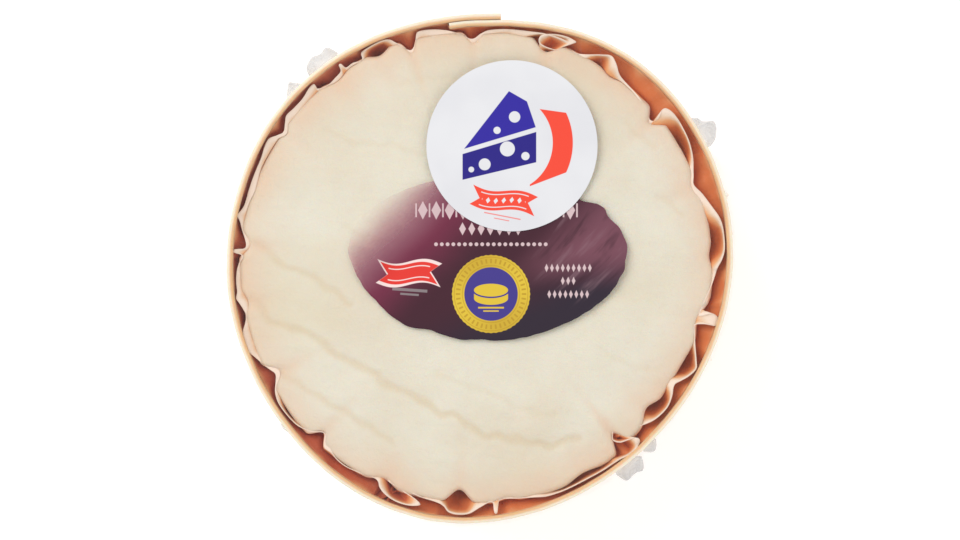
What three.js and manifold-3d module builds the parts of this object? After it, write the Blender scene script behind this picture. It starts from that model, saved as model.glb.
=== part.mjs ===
// A small soft-ripened cheese, sold whole in a round box of bent and stapled poplar veneer. The
// cheese sits in a pleated paper cup, a clear film is drawn over the open box, and two adhesive
// labels lie on the film. Millimetres, +Z up, standing on z = 0. Angles are in degrees, seen from
// above, counter-clockwise from +X. The veneer's overlap is at the back, +Y.
import * as THREE from 'three';
import { mergeVertices } from 'three/addons/utils/BufferGeometryUtils.js';
import Module from 'manifold-3d';

const wasm = await Module();
wasm.setup();

// ---- Driving dimensions ----------------------------------------------------------------------

// The hoop: one strip of veneer bent a little past a full turn, so that its ends overlap.
const HOOP_RADIUS = 49.85; // outside of the outermost ply, on average
const HOOP_HEIGHT = 36;
const VENEER = 1.1;
const PLY_GAP = 0.15; // between the two plies of the overlap
const INNER_END = 97; // the strip starts here, runs clockwise and ends outside its own start
const OUTER_END = 85;
// How the bent hoop differs from a circle: size, number of bulges, angle of the first bulge.
const HOOP_BULGES = [
  [0.67, 1, 62],
  [0.8, 2, 49],
  [0.74, 3, 27],
];

// The floor of the box: a sawn poplar disc inside the hoop.
const FLOOR_THICKNESS = 3;
const FLOOR_GAP = 0.3;

// The cheese: flat base, upright sides, a low crown, and sides pinched in by the paper's pleats.
const CHEESE_RADIUS = 46.1;
const CHEESE_HEIGHT = 32;
const CHEESE_CROWN = 1.1; // how far the middle of the top stands above its shoulder
const CHEESE_LEAN = 1.0; // how far the cheese has spread towards LEAN_ANGLE
const LEAN_ANGLE = 155;
// Each pleat of the paper presses a notch into the side: angle, depth, half its width in degrees.
const NOTCHES = [
  [3, 0.6, 4],
  [21, 1.0, 4],
  [40.5, 2.0, 3.5],
  [56, 0.5, 4],
  [73, 2.2, 4.5],
  [91.5, 1.9, 3],
  [107.3, 2.5, 2.5],
  [115, 1.0, 4],
  [127, 0.8, 5],
  [145, 0.9, 2.5],
  [160, 0.3, 5],
  [174, 1.8, 4],
  [188.5, 0.8, 4],
  [207.3, 2.1, 4],
  [226.5, 2.3, 3],
  [246, 1.2, 5],
  [265, 2.6, 4.5],
  [277, 0.6, 4],
  [297, 0.9, 7],
  [309, 3.6, 3],
  [320, 1.4, 5],
  [330, 1.9, 26],
  [347, 1.2, 6],
];

// The cup: thin paper, its floor under the cheese and its pleated wall up between cheese and hoop.
const PAPER = 0.35;
const PAPER_GAP = 0.55; // from the middle of the paper to the cheese or the hoop
const CUP_TOP = 34.6;

// The staples: flat wire, two through the overlap and six through the hoop into the floor's edge.
const WIRE_WIDTH = 0.7;
const WIRE_THICKNESS = 0.5;
const CROWN_LENGTH = 7.5;
const STAPLE_PLAY = 0.15; // room round a leg, and under a crown
const FLOOR_LEG = 5;
const CLINCH = 2.2; // the leg's tip, bent flat inside the overlap
const FLOOR_STAPLE_ANGLES = [22, 68, 142, 202, 262, 322];
const HOOP_STAPLE_HEIGHTS = { upper: 26, lower: 11 };

// The film: drawn flat over the rim, down the hoop and under its edge, open under the middle.
const FILM = 0.25;
const FILM_CLEARANCE = 1; // outside the hoop, so that it passes over the staples
const FILM_EDGE_RADIUS = 28; // the open middle underneath
// A square sheet leaves a folded ear at each corner: angle, how far it stands out, half its width.
const EARS = [
  [31, 4.2, 4.5],
  [129, 4.6, 6],
  [219, 1.2, 6],
  [308, 4.4, 6],
];
const EAR_HEIGHT = 12;
const EAR_HALF_HEIGHT = 10;

// The labels, lying on the film.
const LABEL_THICKNESS = 0.15;
const LABEL_CENTRE = [1.7, 1.5];
const LABEL_LENGTH = 54;
const LABEL_WIDTH = 31.4;
const STICKER_CENTRE = [6.4, 23.8];
const STICKER_DIAMETER = 33.2;

const CLEARANCE = 0.05; // between flat faces that lie on each other
const SLICES = 216; // steps round the cheese and the cup, which share them so that they never cross
const FILM_SLICES = 144;

// The hoop's bulges put the middle of the whole box here, and the box is centred on the origin.
const MIDDLE = [0.29, 0.17];

// ---- Heights, from the table up --------------------------------------------------------------

const BOX_BASE = FILM + CLEARANCE;
const FLOOR_TOP = BOX_BASE + FLOOR_THICKNESS;
const CUP_BASE = FLOOR_TOP + CLEARANCE;
const CHEESE_BASE = CUP_BASE + PAPER + CLEARANCE;
const RIM = BOX_BASE + HOOP_HEIGHT;
const FILM_UNDERSIDE = RIM + CLEARANCE;
const FILM_TOP = FILM_UNDERSIDE + FILM;
const LABEL_BASE = FILM_TOP + CLEARANCE;
const STICKER_BASE = LABEL_BASE + LABEL_THICKNESS + CLEARANCE;

// ---- Radii round the box ---------------------------------------------------------------------

const radians = THREE.MathUtils.degToRad;
const cosine = (degrees) => Math.cos(radians(degrees));

// The outside of the bent hoop, before the step at its overlap.
function hoopOutside(angle) {
  const bulge = ([size, count, first]) => size * cosine(count * (angle - first));
  return HOOP_BULGES.reduce((radius, row) => radius + bulge(row), HOOP_RADIUS);
}

// The strip winds outwards by one ply as it goes round, clockwise from its inner end.
const OVERLAP = INNER_END - OUTER_END;
const WHOLE_TURN = 360 + OVERLAP;

function hoopPlyOutside(angle, turned) {
  return hoopOutside(angle) - (VENEER + PLY_GAP) * (1 - turned / WHOLE_TURN);
}

function hoopInside(angle) {
  const turned = THREE.MathUtils.euclideanModulo(INNER_END - angle, 360);
  return hoopPlyOutside(angle, turned) - VENEER;
}

function outermostPly(angle) {
  const turned = OVERLAP + THREE.MathUtils.euclideanModulo(OUTER_END - angle, 360);
  return hoopPlyOutside(angle, turned);
}

// The shortest way round from one angle to another.
function turnBetween(from, to) {
  return THREE.MathUtils.euclideanModulo(to - from + 180, 360) - 180;
}

// 1 at the middle of a bump and 0 at its sides, with no corner at either.
function bump(distance, halfWidth) {
  const t = Math.min(Math.abs(distance) / halfWidth, 1);
  return 0.5 + 0.5 * Math.cos(Math.PI * t);
}

function cheeseSide(angle) {
  const room = hoopInside(angle) - 2 * PAPER_GAP;
  const spread = Math.min(room, CHEESE_RADIUS + CHEESE_LEAN * cosine(angle - LEAN_ANGLE));
  const pressed = ([middle, depth, halfWidth]) => depth * bump(turnBetween(angle, middle), halfWidth);
  return NOTCHES.reduce((radius, row) => radius - pressed(row), spread);
}

// The paper follows the cheese at each notch and swings out to the hoop half way to the next.
function paperMiddle(angle) {
  const next = NOTCHES.findIndex(([middle]) => middle > angle);
  const after = next < 0 ? NOTCHES[0][0] + 360 : NOTCHES[next][0];
  const before = next === 0 ? NOTCHES.at(-1)[0] - 360 : NOTCHES.at(next < 0 ? -1 : next - 1)[0];
  const along = (angle - before) / (after - before);
  const inner = cheeseSide(angle) + PAPER_GAP;
  const outer = hoopInside(angle) - PAPER_GAP;
  return THREE.MathUtils.lerp(inner, outer, Math.sin(Math.PI * along) ** 2);
}

// ---- Ways of making a body -------------------------------------------------------------------

function ringAt(slices, radiusAt, height) {
  return Array.from({ length: slices }, (_, i) => {
    const angle = (360 * i) / slices;
    return [radiusAt(angle) * cosine(angle), radiusAt(angle) * cosine(angle - 90), height];
  });
}

// A closed body from rings of equal length, between a point on the axis at each end. The rings run
// up the outside of the body.
function bodyOfRings(startHeight, rings, endHeight) {
  const slices = rings[0].length;
  const points = [[0, 0, startHeight], ...rings.flat(), [0, 0, endHeight]];
  const last = points.length - 1;
  const faces = [];
  for (let i = 0; i < slices; i += 1) {
    const j = (i + 1) % slices;
    faces.push(0, 1 + j, 1 + i);
    for (let ring = 0; ring < rings.length - 1; ring += 1) {
      const low = 1 + ring * slices;
      const high = low + slices;
      faces.push(low + i, low + j, high + j);
      faces.push(low + i, high + j, high + i);
    }
    faces.push(last, last - slices + i, last - slices + j);
  }
  const geometry = new THREE.BufferGeometry();
  geometry.setAttribute('position', new THREE.Float32BufferAttribute(points.flat(), 3));
  geometry.setIndex(faces);
  geometry.computeVertexNormals();
  return geometry;
}

function uprightPrism(outline, base, height) {
  const shape = new THREE.Shape(outline.map(([x, y]) => new THREE.Vector2(x, y)));
  return new THREE.ExtrudeGeometry(shape, { depth: height, bevelEnabled: false }).translate(0, 0, base);
}

function solidOf(geometry) {
  const bare = geometry.clone();
  bare.deleteAttribute('normal');
  bare.deleteAttribute('uv');
  const merged = mergeVertices(bare, 1e-4);
  const vertProperties = new Float32Array(merged.attributes.position.array);
  const triVerts = new Uint32Array(merged.index.array);
  return new wasm.Manifold(new wasm.Mesh({ numProp: 3, vertProperties, triVerts }));
}

function geometryOf(solid) {
  const { vertProperties, triVerts } = solid.getMesh();
  const geometry = new THREE.BufferGeometry();
  geometry.setAttribute('position', new THREE.BufferAttribute(vertProperties, 3));
  geometry.setIndex(new THREE.BufferAttribute(triVerts, 1));
  geometry.computeVertexNormals();
  return geometry;
}

const box = new THREE.Group();

function add(name, geometry, color, roughness, metalness = 0) {
  const material = new THREE.MeshStandardMaterial({ color, roughness, metalness });
  const mesh = new THREE.Mesh(geometry, material);
  mesh.name = name;
  box.add(mesh);
  return mesh;
}

// ---- Staples ---------------------------------------------------------------------------------

// A staple seen along its wire's width: x runs along the crown, y points out of the hoop, and y = 0
// is the underside of the crown.
function stapleOutline(leg, clinch) {
  const side = CROWN_LENGTH / 2;
  const inside = side - WIRE_THICKNESS;
  const half = clinch
    ? [
        [inside, 0],
        [inside, -leg],
        [inside - clinch, -leg],
        [inside - clinch, -leg - WIRE_THICKNESS],
        [side, -leg - WIRE_THICKNESS],
        [side, WIRE_THICKNESS],
      ]
    : [
        [inside, 0],
        [inside, -leg],
        [side, -leg - WIRE_THICKNESS],
        [side, WIRE_THICKNESS],
      ];
  const otherHalf = half.map(([x, y]) => [-x, y]).reverse();
  return [...half, ...otherHalf];
}

// Puts a shape drawn as above on the hoop, with its crown level or upright.
function placeOnHoop(geometry, angle, radius, height, upright) {
  const turned = geometry.clone();
  if (upright) turned.rotateY(Math.PI / 2);
  turned.rotateZ(radians(angle - 90));
  return turned.translate(radius * cosine(angle), radius * cosine(angle - 90), height);
}

function stapleBody(leg, clinch) {
  return uprightPrism(stapleOutline(leg, clinch), -WIRE_WIDTH / 2, WIRE_WIDTH);
}

// The room that a staple's two legs take up in the wood, with the play round them.
function legRoom(leg) {
  const reach = leg + 2 * WIRE_THICKNESS + STAPLE_PLAY;
  const thick = WIRE_THICKNESS + 2 * STAPLE_PLAY;
  const wide = WIRE_WIDTH + 2 * STAPLE_PLAY;
  const middle = (CROWN_LENGTH - WIRE_THICKNESS) / 2;
  const room = new THREE.BoxGeometry(thick, reach + 1, wide).translate(0, (1 - reach) / 2, 0);
  return [-middle, middle].map((x) => room.clone().translate(x, 0, 0));
}

const overlapMiddle = (INNER_END + OUTER_END) / 2;
const overlapThickness = 2 * VENEER + PLY_GAP;
const hoopLeg = overlapThickness + 2 * STAPLE_PLAY;
const overlapOutside = hoopOutside(overlapMiddle) + STAPLE_PLAY;

const hoopStaples = Object.entries(HOOP_STAPLE_HEIGHTS).map(([level, height]) => ({
  name: `hoop_staple_${level}`,
  place: (geometry) => placeOnHoop(geometry, overlapMiddle, overlapOutside, height, true),
}));

const floorStaples = FLOOR_STAPLE_ANGLES.map((angle, i) => {
  // A straight crown touches the curved hoop at its middle, where the hoop stands out most.
  const radius = hoopInside(angle) + VENEER + STAPLE_PLAY;
  const height = BOX_BASE + FLOOR_THICKNESS / 2;
  return {
    name: `floor_staple_${i + 1}`,
    place: (geometry) => placeOnHoop(geometry, angle, radius, height, false),
  };
});

function drilled(wood, staples, leg) {
  const rooms = staples.flatMap(({ place }) => legRoom(leg).map((room) => solidOf(place(room))));
  return rooms.reduce((solid, room) => solid.subtract(room), wood);
}

// ---- The box ---------------------------------------------------------------------------------

const WOOD = 0xdcb88a;
const STEEL = 0xb9b9bc;

function hoopOutline() {
  const steps = 124;
  const outside = [];
  const inside = [];
  for (let i = 0; i <= steps; i += 1) {
    const turned = (WHOLE_TURN * i) / steps;
    const angle = INNER_END - turned;
    const radius = hoopPlyOutside(angle, turned);
    const at = (r) => [r * cosine(angle), r * cosine(angle - 90)];
    outside.push(at(radius));
    inside.push(at(radius - VENEER));
  }
  return [...inside, ...outside.reverse()];
}

const hoopBlank = solidOf(uprightPrism(hoopOutline(), BOX_BASE, HOOP_HEIGHT));
const stapledAtOverlap = drilled(hoopBlank, hoopStaples, hoopLeg);
add('box_hoop', geometryOf(drilled(stapledAtOverlap, floorStaples, FLOOR_LEG)), WOOD, 0.7);

// The disc stays clear of the step where the inner ply ends.
const FLOOR_SLICES = 96;
const clearOfStep = (angle) => Math.min(hoopInside(angle), hoopInside(angle - 360 / FLOOR_SLICES));
const floorEdge = ringAt(FLOOR_SLICES, (angle) => clearOfStep(angle) - FLOOR_GAP, 0);
const floorBlank = solidOf(uprightPrism(floorEdge, BOX_BASE, FLOOR_THICKNESS));
add('box_floor', geometryOf(drilled(floorBlank, floorStaples, FLOOR_LEG)), WOOD, 0.75);

hoopStaples.forEach(({ name, place }) => add(name, place(stapleBody(hoopLeg, CLINCH)), STEEL, 0.35, 1));
floorStaples.forEach(({ name, place }) => add(name, place(stapleBody(FLOOR_LEG, 0)), STEEL, 0.35, 1));

// ---- The paper cup and the cheese ------------------------------------------------------------

const cupOutside = (angle) => paperMiddle(angle) + PAPER / 2;
const cupInside = (angle) => paperMiddle(angle) - PAPER / 2;
const cupRings = [
  ringAt(SLICES, cupOutside, CUP_BASE),
  ringAt(SLICES, cupOutside, CUP_TOP),
  ringAt(SLICES, cupInside, CUP_TOP),
  ringAt(SLICES, cupInside, CUP_BASE + PAPER),
];
add('paper_cup', bodyOfRings(CUP_BASE, cupRings, CUP_BASE + PAPER), 0xf0e4d6, 0.8);

// From the base up: how far each ring lies in from the side, and its height above the base.
const shoulder = CHEESE_HEIGHT - CHEESE_CROWN;
const CHEESE_PROFILE = [
  [2.6, 0],
  [0.8, 0.8],
  [0.2, 3.5],
  [0, shoulder / 2],
  [0.3, shoulder - 4.5],
  [1.4, shoulder - 1.6],
  [4.2, shoulder],
];
const cheeseRings = CHEESE_PROFILE.map(([inwards, height]) =>
  ringAt(SLICES, (angle) => cheeseSide(angle) - inwards, CHEESE_BASE + height),
);
const innerTop = (angle) => THREE.MathUtils.lerp(cheeseSide(angle), CHEESE_RADIUS, 0.7) * 0.6;
cheeseRings.push(ringAt(SLICES, innerTop, CHEESE_BASE + CHEESE_HEIGHT - CHEESE_CROWN / 3));
const cheese = bodyOfRings(CHEESE_BASE, cheeseRings, CHEESE_BASE + CHEESE_HEIGHT);
add('cheese_wheel', cheese, 0xeee6d4, 0.65);

// ---- The film and the labels -----------------------------------------------------------------

// The film spans the step where the outer ply ends.
function filmInside(angle) {
  return Math.max(outermostPly(angle), outermostPly(angle + 360 / FILM_SLICES)) + FILM_CLEARANCE;
}

// A folded ear is blunt: it reaches its full size over the middle of its width.
function filmOutside(angle, height) {
  const rise = bump(height - EAR_HEIGHT, EAR_HALF_HEIGHT);
  const blunt = (distance, halfWidth) => Math.min(1.6 * bump(distance, halfWidth), 1);
  const stands = ([middle, reach, halfWidth]) => reach * blunt(turnBetween(angle, middle), halfWidth);
  return EARS.reduce((radius, row) => radius + rise * stands(row), filmInside(angle) + FILM);
}

function filmRing(inwards, height) {
  return ringAt(FILM_SLICES, (angle) => filmOutside(angle, height) - inwards, height);
}

function filmInnerRing(height) {
  return ringAt(FILM_SLICES, filmInside, height);
}

const EAR_RINGS = [-1, -0.5, 0, 0.5, 1].map((step) => EAR_HEIGHT + step * EAR_HALF_HEIGHT);
const FILM_BEND = 0.4; // the bevel where the film turns over the rim
const filmRings = [
  filmInnerRing(FILM_UNDERSIDE),
  filmInnerRing(FILM),
  ringAt(FILM_SLICES, () => FILM_EDGE_RADIUS, FILM),
  ringAt(FILM_SLICES, () => FILM_EDGE_RADIUS, 0),
  filmRing(0, 0),
  ...EAR_RINGS.map((height) => filmRing(0, height)),
  filmRing(0, FILM_TOP - FILM_BEND),
  filmRing(FILM_BEND, FILM_TOP),
];
add('film_wrap', bodyOfRings(FILM_UNDERSIDE, filmRings, FILM_TOP), 0xf4f4f4, 0.1);

function ovalLabel(length, width, centre, base) {
  const radius = (angle) => 1 / Math.hypot(cosine(angle) / (length / 2), cosine(angle - 90) / (width / 2));
  const edge = ringAt(72, radius, 0);
  return uprightPrism(edge, base, LABEL_THICKNESS).translate(centre[0], centre[1], 0);
}

const printed = ovalLabel(LABEL_LENGTH, LABEL_WIDTH, LABEL_CENTRE, LABEL_BASE);
const sticker = ovalLabel(STICKER_DIAMETER, STICKER_DIAMETER, STICKER_CENTRE, STICKER_BASE);
add('label_print', printed, 0x5a2f45, 0.4);
add('round_sticker', sticker, 0xf2f2f4, 0.4);

box.position.set(-MIDDLE[0], -MIDDLE[1], 0);
export default box;
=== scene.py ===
import math

import bpy
import numpy as np
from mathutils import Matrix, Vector


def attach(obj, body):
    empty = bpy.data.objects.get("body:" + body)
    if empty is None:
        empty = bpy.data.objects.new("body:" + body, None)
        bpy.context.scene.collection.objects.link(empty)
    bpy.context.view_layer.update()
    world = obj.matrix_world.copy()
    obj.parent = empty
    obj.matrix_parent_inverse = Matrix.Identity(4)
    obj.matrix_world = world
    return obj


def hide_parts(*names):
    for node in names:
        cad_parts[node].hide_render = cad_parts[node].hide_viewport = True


# A small soft-ripened cheese in a pleated paper cup, in an open round box of stapled poplar veneer,
# wrapped in clear film with an oval print and a round sticker on it. Shapes are worked out in
# millimetres about the middle of the wheel, and angles in degrees, counter-clockwise from +X.
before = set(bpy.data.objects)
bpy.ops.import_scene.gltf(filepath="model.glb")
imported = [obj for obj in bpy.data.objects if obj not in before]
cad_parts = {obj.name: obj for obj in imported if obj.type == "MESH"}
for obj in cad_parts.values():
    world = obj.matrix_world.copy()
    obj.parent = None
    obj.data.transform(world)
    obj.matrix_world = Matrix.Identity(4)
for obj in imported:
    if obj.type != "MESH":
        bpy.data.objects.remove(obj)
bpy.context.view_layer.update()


# ---- The hoop ---------------------------------------------------------------------------------
# One strip of peeled poplar veneer, steamed and bent a little past a full turn, so that its ends
# overlap at the back. The grain runs along the strip. The cut rim is pale. The side that faces the
# cheese is painted orange-brown below the rim, deeper further down and redder on the left: painted
# shade and bounced light in the gap between the cheese and the hoop.

MM = 0.001
WHEEL_MIDDLE = np.array([-0.29, -0.17, 0.0])
BOX_BASE = 0.3
RIM = 36.3
VENEER = 1.1
PLY_GAP = 0.15
INNER_END = 97.0
OVERLAP = 12.0
WHOLE_TURN = 360.0 + OVERLAP
HOOP_RADIUS = 49.85
HOOP_BULGES = (  # size, how many, angle of the first
    (0.67, 1, 62), (0.8, 2, 49), (0.74, 3, 27), (0.18, 4, -27), (0.16, 5, -18), (0.11, 6, 4),
)


def cosine(angle):
    return np.cos(np.radians(angle))


def sine(angle):
    return np.sin(np.radians(angle))


def hoop_outside(angle):
    bulges = sum(size * cosine(count * (angle - first)) for size, count, first in HOOP_BULGES)
    return HOOP_RADIUS + bulges


def ply_outside(angle, turned):
    return hoop_outside(angle) - (VENEER + PLY_GAP) * (1 - turned / WHOLE_TURN)


def hoop_inside(angle):
    return ply_outside(angle, np.mod(INNER_END - angle, 360)) - VENEER


def outermost_ply(angle):
    return ply_outside(angle, OVERLAP + np.mod(INNER_END - OVERLAP - angle, 360))


def ripples(seed, size, *coordinates, waves=24):
    """A smooth random height, mostly between -1 and 1, with bumps about size across."""
    dice = np.random.default_rng(seed)
    total = 0.0
    for _ in range(waves):
        direction = dice.normal(size=len(coordinates))
        direction *= dice.uniform(0.6, 1.5) / np.linalg.norm(direction)
        along = sum(part * coordinate for part, coordinate in zip(direction, coordinates))
        total = total + np.sin(dice.uniform(0, 2 * math.pi) + 2 * math.pi * along / size)
    return total * math.sqrt(1.2 / waves)


def net_faces(rows, columns, close_rows=False, close_columns=False):
    """The four-cornered faces of a net of points numbered row by row."""
    row = np.arange(rows if close_rows else rows - 1)[:, None]
    column = np.arange(columns if close_columns else columns - 1)[None, :]
    next_row = (row + 1) % rows
    next_column = (column + 1) % columns
    corners = [
        row * columns + column,
        row * columns + next_column,
        next_row * columns + next_column,
        next_row * columns + column,
    ]
    return np.stack(np.broadcast_arrays(*corners), -1).reshape(-1, 4).tolist()


def make_piece(name, points, faces, finish, nodes=(), marks=None, crease=40, smooth=True):
    """A piece of the box, from points in millimetres about the middle of the wheel. marks are named
    rows of three numbers, one row for each point, that its finish reads."""
    mesh = bpy.data.meshes.new(name)
    placed = (np.asarray(points, float).reshape(-1, 3) + WHEEL_MIDDLE) * MM
    mesh.from_pydata(placed.tolist(), [], faces)
    for mark, rows in (marks or {}).items():
        layer = mesh.attributes.new(mark, "FLOAT_VECTOR", "POINT")
        layer.data.foreach_set("vector", np.asarray(rows, np.float32).ravel())
    mesh.materials.append(finish)
    mesh.update()
    if smooth:
        mesh.shade_smooth()
        mesh.set_sharp_from_angle(angle=math.radians(crease))
    piece = bpy.data.objects.new(name, mesh)
    bpy.context.scene.collection.objects.link(piece)
    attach(piece, "root")
    if nodes:
        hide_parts(*nodes)
    return piece


def paint(red, green, blue):
    """A paint-chart colour, 0 to 255, as the light that it sends back."""
    share = np.array([red, green, blue]) / 255
    light = np.where(share <= 0.04045, share / 12.92, ((share + 0.055) / 1.055) ** 2.4)
    return (*light.tolist(), 1.0)


class Finish:
    """A material: one Principled shader and the nodes that feed it."""

    def __init__(self, name, **settings):
        self.material = bpy.data.materials.new(name)
        self.material.use_nodes = True
        self.tree = self.material.node_tree
        self.shader = self.tree.nodes["Principled BSDF"]
        for label, value in settings.items():
            self.set(label.replace("_", " "), value)

    def set(self, label, value):
        self.feed(self.shader.inputs[label], value)

    def feed(self, socket, value):
        if isinstance(value, Number):
            value = value.socket
        if isinstance(value, bpy.types.NodeSocket):
            self.tree.links.new(value, socket)
        else:
            socket.default_value = value

    def node(self, kind, *values, **settings):
        made = self.tree.nodes.new("ShaderNode" + kind)
        for label, value in settings.items():
            setattr(made, label, value)
        for socket, value in zip(made.inputs, values):
            self.feed(socket, value)
        return made

    def parts(self, vector):
        made = self.node("SeparateXYZ", vector)
        return [Number(self, socket) for socket in made.outputs]

    def mark(self, name):
        """The three numbers that make_piece stored at each point under this name."""
        return self.node("Attribute", attribute_name=name).outputs["Vector"]

    def place(self):
        """Where the surface is, in millimetres from the middle of the wheel at table height."""
        made = self.node("TexCoord").outputs["Object"]
        made = self.node("VectorMath", made, (1 / MM,) * 3, operation="MULTIPLY").outputs[0]
        return self.node("VectorMath", made, WHEEL_MIDDLE, operation="SUBTRACT").outputs[0]

    def noise(self, where, size, detail=3.0, roughness=0.55, distortion=0.0):
        """Even noise from 0 to 1, whose features are size millimetres across on each axis."""
        where = self.node("VectorMath", where, size, operation="DIVIDE").outputs[0]
        made = self.node("TexNoise")
        self.feed(made.inputs["Vector"], where)
        made.inputs["Scale"].default_value = 1.0
        made.inputs["Detail"].default_value = detail
        made.inputs["Roughness"].default_value = roughness
        made.inputs["Distortion"].default_value = distortion
        return Number(self, made.outputs["Fac"])

    def blend(self, share, first, second):
        made = self.node("Mix", data_type="RGBA")
        self.feed(made.inputs[0], share)
        self.feed(made.inputs[6], first)
        self.feed(made.inputs[7], second)
        return made.outputs[2]

    def relief(self, height, strength=1.0):
        """Raises the surface by height millimetres, for the light that falls on it."""
        made = self.node("Bump")
        made.inputs["Strength"].default_value = strength
        made.inputs["Distance"].default_value = MM
        self.feed(made.inputs["Height"], height)
        self.set("Normal", made.outputs["Normal"])


class Number:
    """A number worked out at every point of a surface: arithmetic on it adds Math nodes."""

    def __init__(self, finish, socket):
        self.finish = finish
        self.socket = socket

    def step(self, operation, *others):
        made = self.finish.node("Math", self, *others, operation=operation)
        return Number(self.finish, made.outputs[0])

    def __add__(self, other):
        return self.step("ADD", other)

    def __sub__(self, other):
        return self.step("SUBTRACT", other)

    def __mul__(self, other):
        return self.step("MULTIPLY", other)

    def __truediv__(self, other):
        return self.step("DIVIDE", other)

    def __abs__(self):
        return self.step("ABSOLUTE")

    def __rsub__(self, other):
        return self.step("MULTIPLY", -1.0).step("ADD", other)

    __radd__ = __add__
    __rmul__ = __mul__

    def least(self, other):
        return self.step("MINIMUM", other)

    def most(self, other):
        return self.step("MAXIMUM", other)

    def rise(self, start, end):
        """0 before start and 1 after end, with a smooth slope between."""
        made = self.finish.node("MapRange", self, start, end, interpolation_type="SMOOTHSTEP")
        return Number(self.finish, made.outputs["Result"])


STRIP_HEIGHT = RIM - BOX_BASE
STRIP_STEP = 0.5  # degrees along the strip
EDGE_ROUND = 0.28
CORNER_STEPS = 4
FACE_STEPS = 22
RIM_WAVE = 0.09
RIM_WAVE_REACH = 6  # how far below the rim the wave in it dies out


def strip_section():
    """Once round the strip's cut end: how far out of the inner face, and how far up."""
    across, up = [], []
    corners = (
        (VENEER - EDGE_ROUND, EDGE_ROUND, -90),
        (VENEER - EDGE_ROUND, STRIP_HEIGHT - EDGE_ROUND, 0),
        (EDGE_ROUND, STRIP_HEIGHT - EDGE_ROUND, 90),
        (EDGE_ROUND, EDGE_ROUND, 180),
    )
    for (middle, level, start), (_, next_level, _) in zip(corners, corners[1:] + corners[:1]):
        turn = start + 90 * np.arange(CORNER_STEPS + 1) / CORNER_STEPS
        across.extend(middle + EDGE_ROUND * cosine(turn))
        up.extend(level + EDGE_ROUND * sine(turn))
        if level != next_level:
            rest = np.linspace(up[-1], next_level, FACE_STEPS + 1)[1:-1]
            across.extend([across[-1]] * len(rest))
            up.extend(rest)
    return np.array(across), np.array(up)


def hoop_mesh():
    turned = np.arange(0, WHOLE_TURN + STRIP_STEP / 2, STRIP_STEP)[:, None]
    angle = INNER_END - turned
    across, up = strip_section()
    outside = ply_outside(angle, turned)
    radius = outside - VENEER + across
    x, y = radius * cosine(angle), radius * sine(angle)
    along = np.radians(turned) * HOOP_RADIUS + 0 * across
    # The veneer bows a little between its edges, and its rim was cut along a slightly wavy line.
    bow = 0.06 * ripples(11, 38, x, y, 0.6 * up) + 0.025 * ripples(12, 7, x, y, up)
    rim_wave = RIM_WAVE * ripples(13, 26, x, y) + 0.03 * ripples(14, 4, x, y)
    near_rim = (up - (STRIP_HEIGHT - RIM_WAVE_REACH)) / RIM_WAVE_REACH
    height = BOX_BASE + up + np.where(near_rim > 0, rim_wave * near_rim - RIM_WAVE, 0)
    radius = radius + bow
    points = np.stack([radius * cosine(angle), radius * sine(angle), height], -1)
    marks = np.stack([along, up + 0 * along, across + 0 * along], -1)
    columns = len(up)
    faces = net_faces(len(turned), columns, close_columns=True)
    first_end = list(range(columns))
    last_end = [len(turned) * columns - 1 - i for i in range(columns)]
    return points, faces + [first_end, last_end], marks


VENEER_PALE = paint(234, 210, 174)
VENEER_TAN = paint(226, 186, 138)
VENEER_STREAK = paint(198, 148, 96)
RIM_CREAM = paint(250, 240, 220)
# The colours below are painted shade and bounced light for the inner face; the darkest of them also
# colours the fine checks in the wood.
RIM_TAN = paint(234, 188, 138)
PAINTED_SHADE_TOP = paint(248, 200, 148)
PAINTED_SHADE_DEEP = paint(222, 126, 66)
CHECKS_AND_PAINTED_SHADE = paint(186, 88, 56)


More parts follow.
